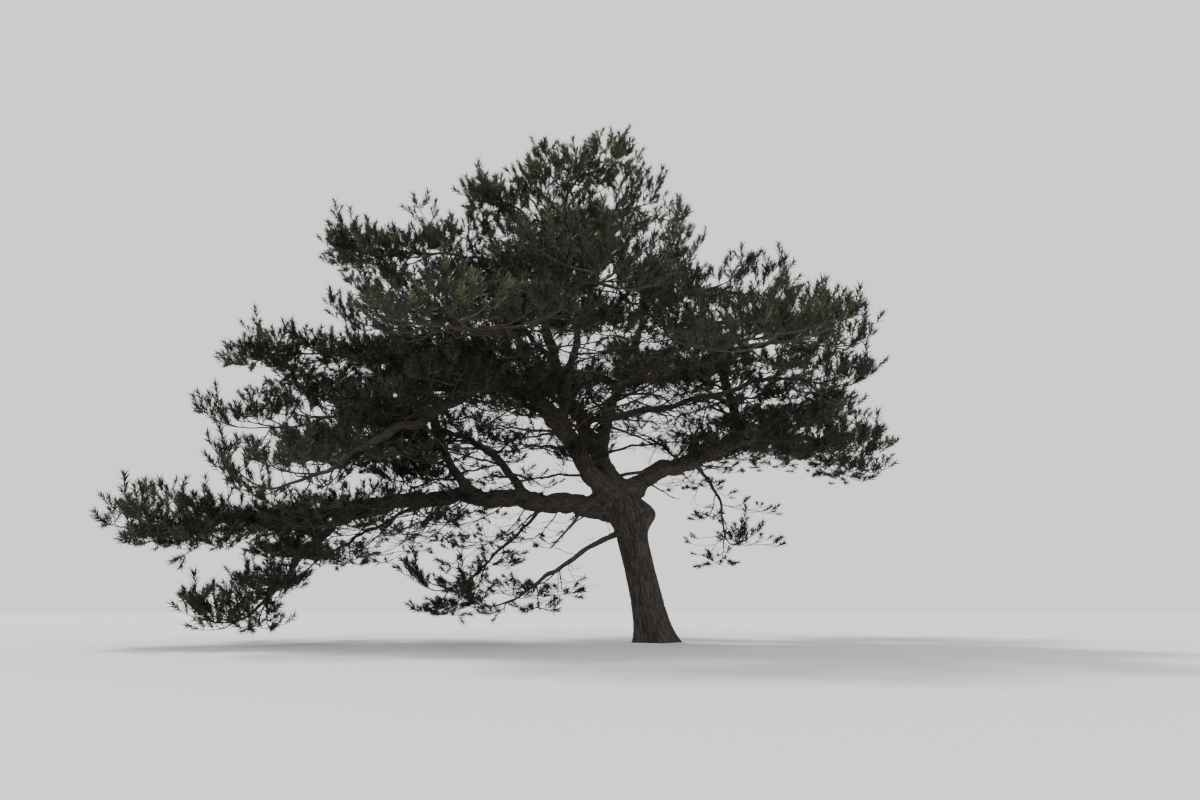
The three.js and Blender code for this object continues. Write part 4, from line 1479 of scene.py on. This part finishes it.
droopSize = {
    "drop": (0.45, 1.05),  # how much it heads down
    "outwards": (0.3, 0.9),  # how much it heads along the limb, and to its side
    "steps": 6,
    "stray": 0.02,
    "lift": 0.24,  # how much it curls up at its tip, as a share of its length
    "clear": 0.35,  # height that it keeps above the ground
    "forward": (0.3, 0.8),
    "rise": (-0.3, 0.3),
    "twigs": (0.18, 0.36),
    "leafy": (0.5, 1.5),  # of its inner and outer twigs
}


# The hanging boughs of one limb: bare and wiry at first, then tufts towards their ends.
def growDroops(region, limb, index):
    if limb.name not in droopingBoughs:
        return
    size = droopSize
    first, last, count, far, leafy = droopingBoughs[limb.name]
    dice = Dice(treeSeed * 5000 + 11 * index)
    for k in range(count):
        reach = limb.length * placeOn((first, last - first), k + dice.roll(), count)
        root, ahead = limb.standAt(reach)
        side = sideOf(ahead) * eitherSide(k)
        drop = up * dice.between(*size["drop"])
        way = ahead * dice.between(*size["outwards"]) + side * dice.between(*size["outwards"])
        way = (way - drop).normalized()
        long = min(far * dice.between(0.7, 1.15), (root.z - size["clear"]) / max(0.2, -way.z))
        spots = [root]
        for t in np.linspace(0, 1, size["steps"] + 1)[1:]:
            spot = root + way * long * t + up * long * size["lift"] * t**3
            spots.append(spot + dice.stray(size["stray"]))
        region.addLine(spots, *twigRadii["drooping"])
        for step in range(2, size["steps"] + 1):
            tufted = leafy * size["leafy"][step >= 4]
            growPair(region, dice, spots[step], way, size, long, tufted)
        growSparse(region, dice, spots[-1], (way * Vector((1, 1, 0.2))).normalized(), long * 0.3, 1)


# The wiry twigs of one limb, from near its root to a little past its first side bough.
def growWiry(region, limb, index):
    dice = Dice(treeSeed * 7000 + 19 * index)
    size = wiryTwigs
    stop = limb.bend.length * max(0.35, min(1, sideBoughs["from"].get(limb.name, 1) + size["overlap"]))
    start = limb.bend.length * size["from"] + 0.3
    for _ in range(int(max(0, stop - start) / size["spacing"])):
        reach = start + (stop - start) * dice.roll()
        root, ahead = limb.standAt(reach)
        out = roundOf(ahead, dice.between(0, 360))
        way = (out + ahead * dice.between(0.1, 0.9)).normalized()
        long = size["long"] * dice.between(*size["uneven"])
        growSparse(region, dice, root, way, long + limb.radiusAt(reach), size["tufted"])


slenderSize = {
    "steps": 10,
    "stray": 0.02,
    "tip": 0.006,
    "uneven": (0.6, 1.15),
    "sway": (-0.22, 0.22),
    "sag": (-0.05, 0.25),
    "thickest": 0.027,
    "forward": (0.4, 1.1),
    "rise": (-0.3, 0.4),
    "twigs": (0.12, 0.30),
    "leafy": (0.22, 0.8),  # of its inner and outer twigs
}


# The slender inner boughs of one limb, with wiry twigs along them.
def growSlender(region, limb, index):
    if limb.name not in slenderBoughs:
        return
    size, steps = slenderSize, slenderSize["steps"]
    first, last, count, far = slenderBoughs[limb.name]
    dice = Dice(treeSeed * 9000 + 23 * index)
    for k in range(count):
        reach = limb.bend.length * placeOn((first, last - first), k + dice.roll(), count)
        root, ahead = limb.standAt(reach)
        flat = Vector((ahead.x, ahead.y, 0)).normalized()
        out = turned(flat, flat.cross(up), allRound * k + dice.between(-25, 25))
        way = (out + flat * 0.5 + up * dice.between(-0.1, 0.6)).normalized()
        long = far * dice.between(*size["uneven"])
        side = sideOf(way)
        sway, sag = dice.between(*size["sway"]), dice.between(*size["sag"])
        turns = dice.between(2, 6)
        spots = [root]
        for t in np.linspace(0, 1, steps + 1)[1:]:
            bend = side * long * sway * math.sin(turns * t) - up * long * sag * t * t
            spots.append(root + way * long * t + bend + dice.stray(size["stray"]))
        region.addLine(spots, min(size["thickest"], 0.38 * limb.radiusAt(reach)), size["tip"])
        for step in range(2, steps + 1):
            ahead = (spots[min(step + 1, steps)] - spots[step - 1]).normalized()
            growPair(region, dice, spots[step], ahead, size, long, size["leafy"][step >= 6])
        growSparse(region, dice, spots[-1], (ahead + up * 0.2).normalized(), long * 0.22, 1)


# The short leafy boughs and the dead branches that one limb carries, in the clearings too.
def growNear(region, limb, index):
    dice = Dice(treeSeed * 11000 + 29 * index)
    region.shaded = False
    for share, bearing, rise, long in nearBoughs.get(limb.name, ()):
        root = Vector(limb.spotAt(share * limb.bend.length))
        growBough(region, dice, root, towards(bearing, rise), long + 0.1, sideBoughs["near"])
    for share, bearing, rise, long, thick in deadBranches.get(limb.name, ()):
        way, reach = towards(bearing, rise), share * limb.bend.length
        root, long = Vector(limb.spotAt(reach)), long + limb.radiusAt(reach)
        spots = []
        for t in np.linspace(0, 1, deadSize["steps"] + 1):
            spot = root + way * long * t - up * long * deadSize["sag"] * t * t
            spots.append(spot + dice.stray(deadSize["stray"]))
        region.addLine(spots, thick, thick * deadSize["taper"])
        for step in deadSize["snags"]:
            snag = way + way.cross(up) * dice.between(-1, 1) + up * dice.between(-0.5, 0.5)
            end = spots[step] + snag.normalized() * dice.between(*deadSize["snagLong"])
            region.addLine([spots[step], end], *twigRadii["snag"])
    region.shaded = True


# A wiry, bent twig that forks, with tufts at some of its tips: leafy is the share of them.
def growSparse(region, dice, root, out, long, leafy):
    size, side = wiryTwigs, sideOf(out)
    bend, lift = dice.between(*size["bend"]), dice.between(*size["lift"])
    spots = [root]
    for t in (0.25, 0.5, 0.75, 1):
        sway = side * bend * math.sin(3 * t) + up * (lift * t * t - 0.05 * math.sin(3 * t))
        spots.append(root + (out * t + sway) * long + dice.stray(0.012))
    if spots[-1].z < leastHeight["wiry"]:
        return
    region.addLine(spots, *twigRadii["wiry"])
    if dice.roll() < leafy:
        aim = spots[-1] - spots[-2] + up * long * 0.12
        region.addSpray(spots[-1], aim, dice.between(*size["tipTuft"]), dice)
    for k in range(1 + int(long / size["forks"])):
        start = along(spots, dice.between(0.25, 0.95))
        way = out + side * eitherSide(k) * dice.between(0.5, 1.1) + up * dice.between(-0.2, 0.4)
        way.normalize()
        reach = 0.05 + long * dice.between(*size["forkLong"])
        end = start + way * reach + up * reach * 0.25
        middle = start.lerp(end, 0.5) - up * reach * 0.08 + dice.stray(0.008)
        region.addLine([start, middle, end], *twigRadii["fork"])
        if dice.roll() < leafy:
            aim = way + up * 0.6 + dice.stray(0.3)
            region.addSpray(end, aim, dice.between(*size["forkTuft"]), dice)


airySize = {
    "twigs": 5,
    "along": (0.25, 0.17),  # where the first one starts, and how far apart they are
    "long": (0.2, 0.4),
    "tufted": 0.45,
}


# A twig of a thin mass: wiry twigs along it, tufted at about half of their tips.
def growAiry(region, dice, root, out, long):
    size = airySize
    tip = root + out * long + up * long * 0.1
    middle = root.lerp(tip, 0.5) - up * long * 0.04
    region.addLine([root, middle, tip], *twigRadii["airy"])
    side = sideOf(out)
    first, apart = size["along"]
    for k in range(size["twigs"]):
        way = (out * 0.8 + side * eitherSide(k) + up * dice.between(-0.1, 0.5)).normalized()
        spot = root.lerp(tip, first + apart * k)
        growSparse(region, dice, spot, way, dice.between(*size["long"]), size["tufted"])
    growSparse(region, dice, tip, out, 0.25, 1)


crestSize = {
    "spacing": 0.22,
    "crested": 1.7,  # how many times as many grow on the crested masses
    "along": (0.12, 0.86),
    "long": (0.20, 0.38),
    "tipSway": 0.7,
    "tipLong": (0.40, 0.55),
    "back": 0.03,  # how far short of the tip the last ones start
}


# The upright shoots along the top of a mass and at its tip.
def growCrest(region, limb, dice, share):
    size = crestSize
    count = int(share * limb.stem.length / size["spacing"])
    for k in range(count):
        root, ahead = limb.onStem(placeOn(size["along"], k + dice.roll(), count))
        side = sideOf(ahead) * eitherSide(k)
        way = (ahead * 0.4 + side * dice.between(0.0, 0.5) + up * dice.between(0.6, 1.3)).normalized()
        growBranchlet(region, dice, root, way, dice.between(*size["long"]))
    root, ahead = limb.onStem(1)
    foot = root - ahead * size["back"]
    for sway in (-size["tipSway"], size["tipSway"]):
        way = (ahead + sideOf(ahead) * sway + up * dice.between(0.0, 0.3)).normalized()
        growBranchlet(region, dice, foot, way, dice.between(*size["tipLong"]))
    growCandle(region, dice, foot, ahead)


# A mass by the solids' seeded rule, with a finer twig between each two and finer growth on all.
def growMass(region, limb, index):
    size = twigSize
    dice, finer = Dice(treeSeed + 101 * index), Dice(treeSeed * 1000 + 17 * index)
    count = int(limb.stem.length / size["spacing"] + 0.5)
    airy = limb.name in airyMasses
    between = 0 if airy else thinMasses.get(limb.name, 1)
    sink = sinks.get(limb.name, 0)
    for k in range(count):
        for half in (0, 1) if finer.roll() < between else (0,):
            source = finer if half else dice
            place = k + half * 0.5 + source.between(0.25, 0.75)
            t = min(0.99, placeOn((size["bare"], 1 - size["bare"]), place, count))
            root, ahead = limb.onStem(t)
            angle = limb.spiral * k + 180 * half + source.between(-16, 16) * (1 + 2.2 * half)
            out = turned(ahead, roundOf(ahead, angle), size["turn"] * source.between(0.8, 1.15))
            out = (out + up * (size["lift"] * source.between(0.2, 1.8) - sink)).normalized()
            long = limb.spread * outline(t) * source.between(0.75, 1.1)
            if half:
                long *= finer.between(*size["finer"])
            else:
                for _ in range(size["drawsEach"]):
                    dice.roll()
            if airy:
                growAiry(region, finer, root, out, long)
            else:
                growTwig(region, finer, root, out, ahead, long)
    growCrest(region, limb, finer, crestSize["crested"] if limb.name in crestedMasses else between)


def lineMesh(name, lines):
    points, edges, thick, rootThick = [], [], [], []
    for spots, root, end in lines:
        first = len(points)
        points += spots
        edges += [(first + k, first + k + 1) for k in range(len(spots) - 1)]
        thick += [root + (end - root) * k / (len(spots) - 1) for k in range(len(spots))]
        rootThick += [root] * len(spots)
    mesh = bpy.data.meshes.new(name)
    mesh.from_pydata(points, edges, [])
    mesh.attributes.new("thickness", "FLOAT", "POINT").data.foreach_set("value", thick)
    mesh.attributes.new("rootThickness", "FLOAT", "POINT").data.foreach_set("value", rootThick)
    return mesh


def pointMesh(name, rows):
    mesh = bpy.data.meshes.new(name)
    mesh.from_pydata([row[0] for row in rows], [], [])
    columns = [
        ("aim", "FLOAT_VECTOR", "vector", 1),
        ("spin", "FLOAT", "value", 2),
        ("size", "FLOAT", "value", 3),
        ("shape", "INT", "value", 4),
        ("tone", "INT", "value", 5),
    ]
    for key, kind, slotName, column in columns:
        values = np.array([row[column] for row in rows]).ravel()
        mesh.attributes.new(key, kind, "POINT").data.foreach_set(slotName, values)
    return mesh


# Limbs without a mass of their own, by the region that takes their growth.
bareLimbs = {"left_middle": "left_leader", "right": "right_bough"}

regions = {}
growers = (growSides, growDroops, growWiry, growSlender, growNear)
for index, name in enumerate(massTable):
    limb = limbs[name]
    region = regions.setdefault(limb.region, Region())
    growMass(region, limb, index)
    for grow in growers:
        grow(region, limb, index)
for index, (label, name) in enumerate(bareLimbs.items(), len(massTable)):
    for grow in growers:
        grow(regions[label], limbs[name], index)

total = 0
sprayValues = {"Sprays": sprayKinds}
sprayValues.update({f"Tone {k}": material for k, material in enumerate(needleMaterials)})
for label, region in regions.items():
    solids = [row[0] for row in massTable.values() if row[1] == label]
    lines, points = lineMesh(label, region.lines), pointMesh(label, region.sprays)
    twigs = grown(f"{label}_twigs", lines, twigLines, twigSockets, {"Material": twigBark})
    needles = grown(f"{label}_sprays", points, sprays, spraySockets, sprayValues)
    for piece, slotName in ((twigs, "bark"), (needles, "needles")):
        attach(piece, "root")
        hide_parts(*solids)
        faces = countTriangles(piece.data)
        total += faces
        print(piece.name, "triangles:", faces)
print("foliage grown, triangles:", total, "sprays:", sum(len(region.sprays) for region in regions.values()))

# Floor, light and camera
stageSize = {
    "floor": 90.0,
    "tone": (0.62, 0.62, 0.60, 1),
    "roughness": 0.9,
    "shine": 0.5,
    "sky": (0.90, 0.91, 0.92, 1),
    "skyStrength": 1.35,
    "sun": 3.6,
    "sunAngle": 9,
    "sunFrom": (-0.45, 0.50, 0.90),
}


def buildStage():
    half = stageSize["floor"]
    mesh = bpy.data.meshes.new("floor")
    corners = [(-half, -half, 0), (half, -half, 0), (half, half, 0), (-half, half, 0)]
    mesh.from_pydata(corners, [], [(0, 1, 2, 3)])
    floor = bpy.data.objects.new("floor", mesh)
    bpy.context.scene.collection.objects.link(floor)
    material, _, shader, _ = newMaterial("pale floor", stageSize["shine"])
    shader.inputs["Base Color"].default_value = stageSize["tone"]
    shader.inputs["Roughness"].default_value = stageSize["roughness"]
    mesh.materials.append(material)
    world = bpy.data.worlds.new("studio")
    world.use_nodes = True
    background = world.node_tree.nodes["Background"]
    background.inputs["Color"].default_value = stageSize["sky"]
    background.inputs["Strength"].default_value = stageSize["skyStrength"]
    bpy.context.scene.world = world
    lamp = bpy.data.lights.new("soft sun", "SUN")
    lamp.energy = stageSize["sun"]
    lamp.angle = math.radians(stageSize["sunAngle"])
    sun = bpy.data.objects.new("soft sun", lamp)
    sun.rotation_mode = "QUATERNION"
    sun.rotation_quaternion = Vector(stageSize["sunFrom"]).to_track_quat("Z", "Y")
    bpy.context.scene.collection.objects.link(sun)


cameraSize = {"place": (-0.856, -13.0, 0.5), "pitch": 14.641, "lens": 24.0, "sensor": 36.0}


def buildCamera():
    lens = bpy.data.cameras.new("camera")
    lens.lens = cameraSize["lens"]
    lens.sensor_width = cameraSize["sensor"]
    lens.sensor_fit = "HORIZONTAL"
    lens.clip_end = 400
    camera = bpy.data.objects.new("camera", lens)
    camera.location = cameraSize["place"]
    camera.rotation_euler = (math.radians(90 + cameraSize["pitch"]), 0, 0)
    bpy.context.scene.collection.objects.link(camera)
    bpy.context.scene.camera = camera


buildStage()
buildCamera()
bpy.context.view_layer.update()
print("solids:", solidsBox)
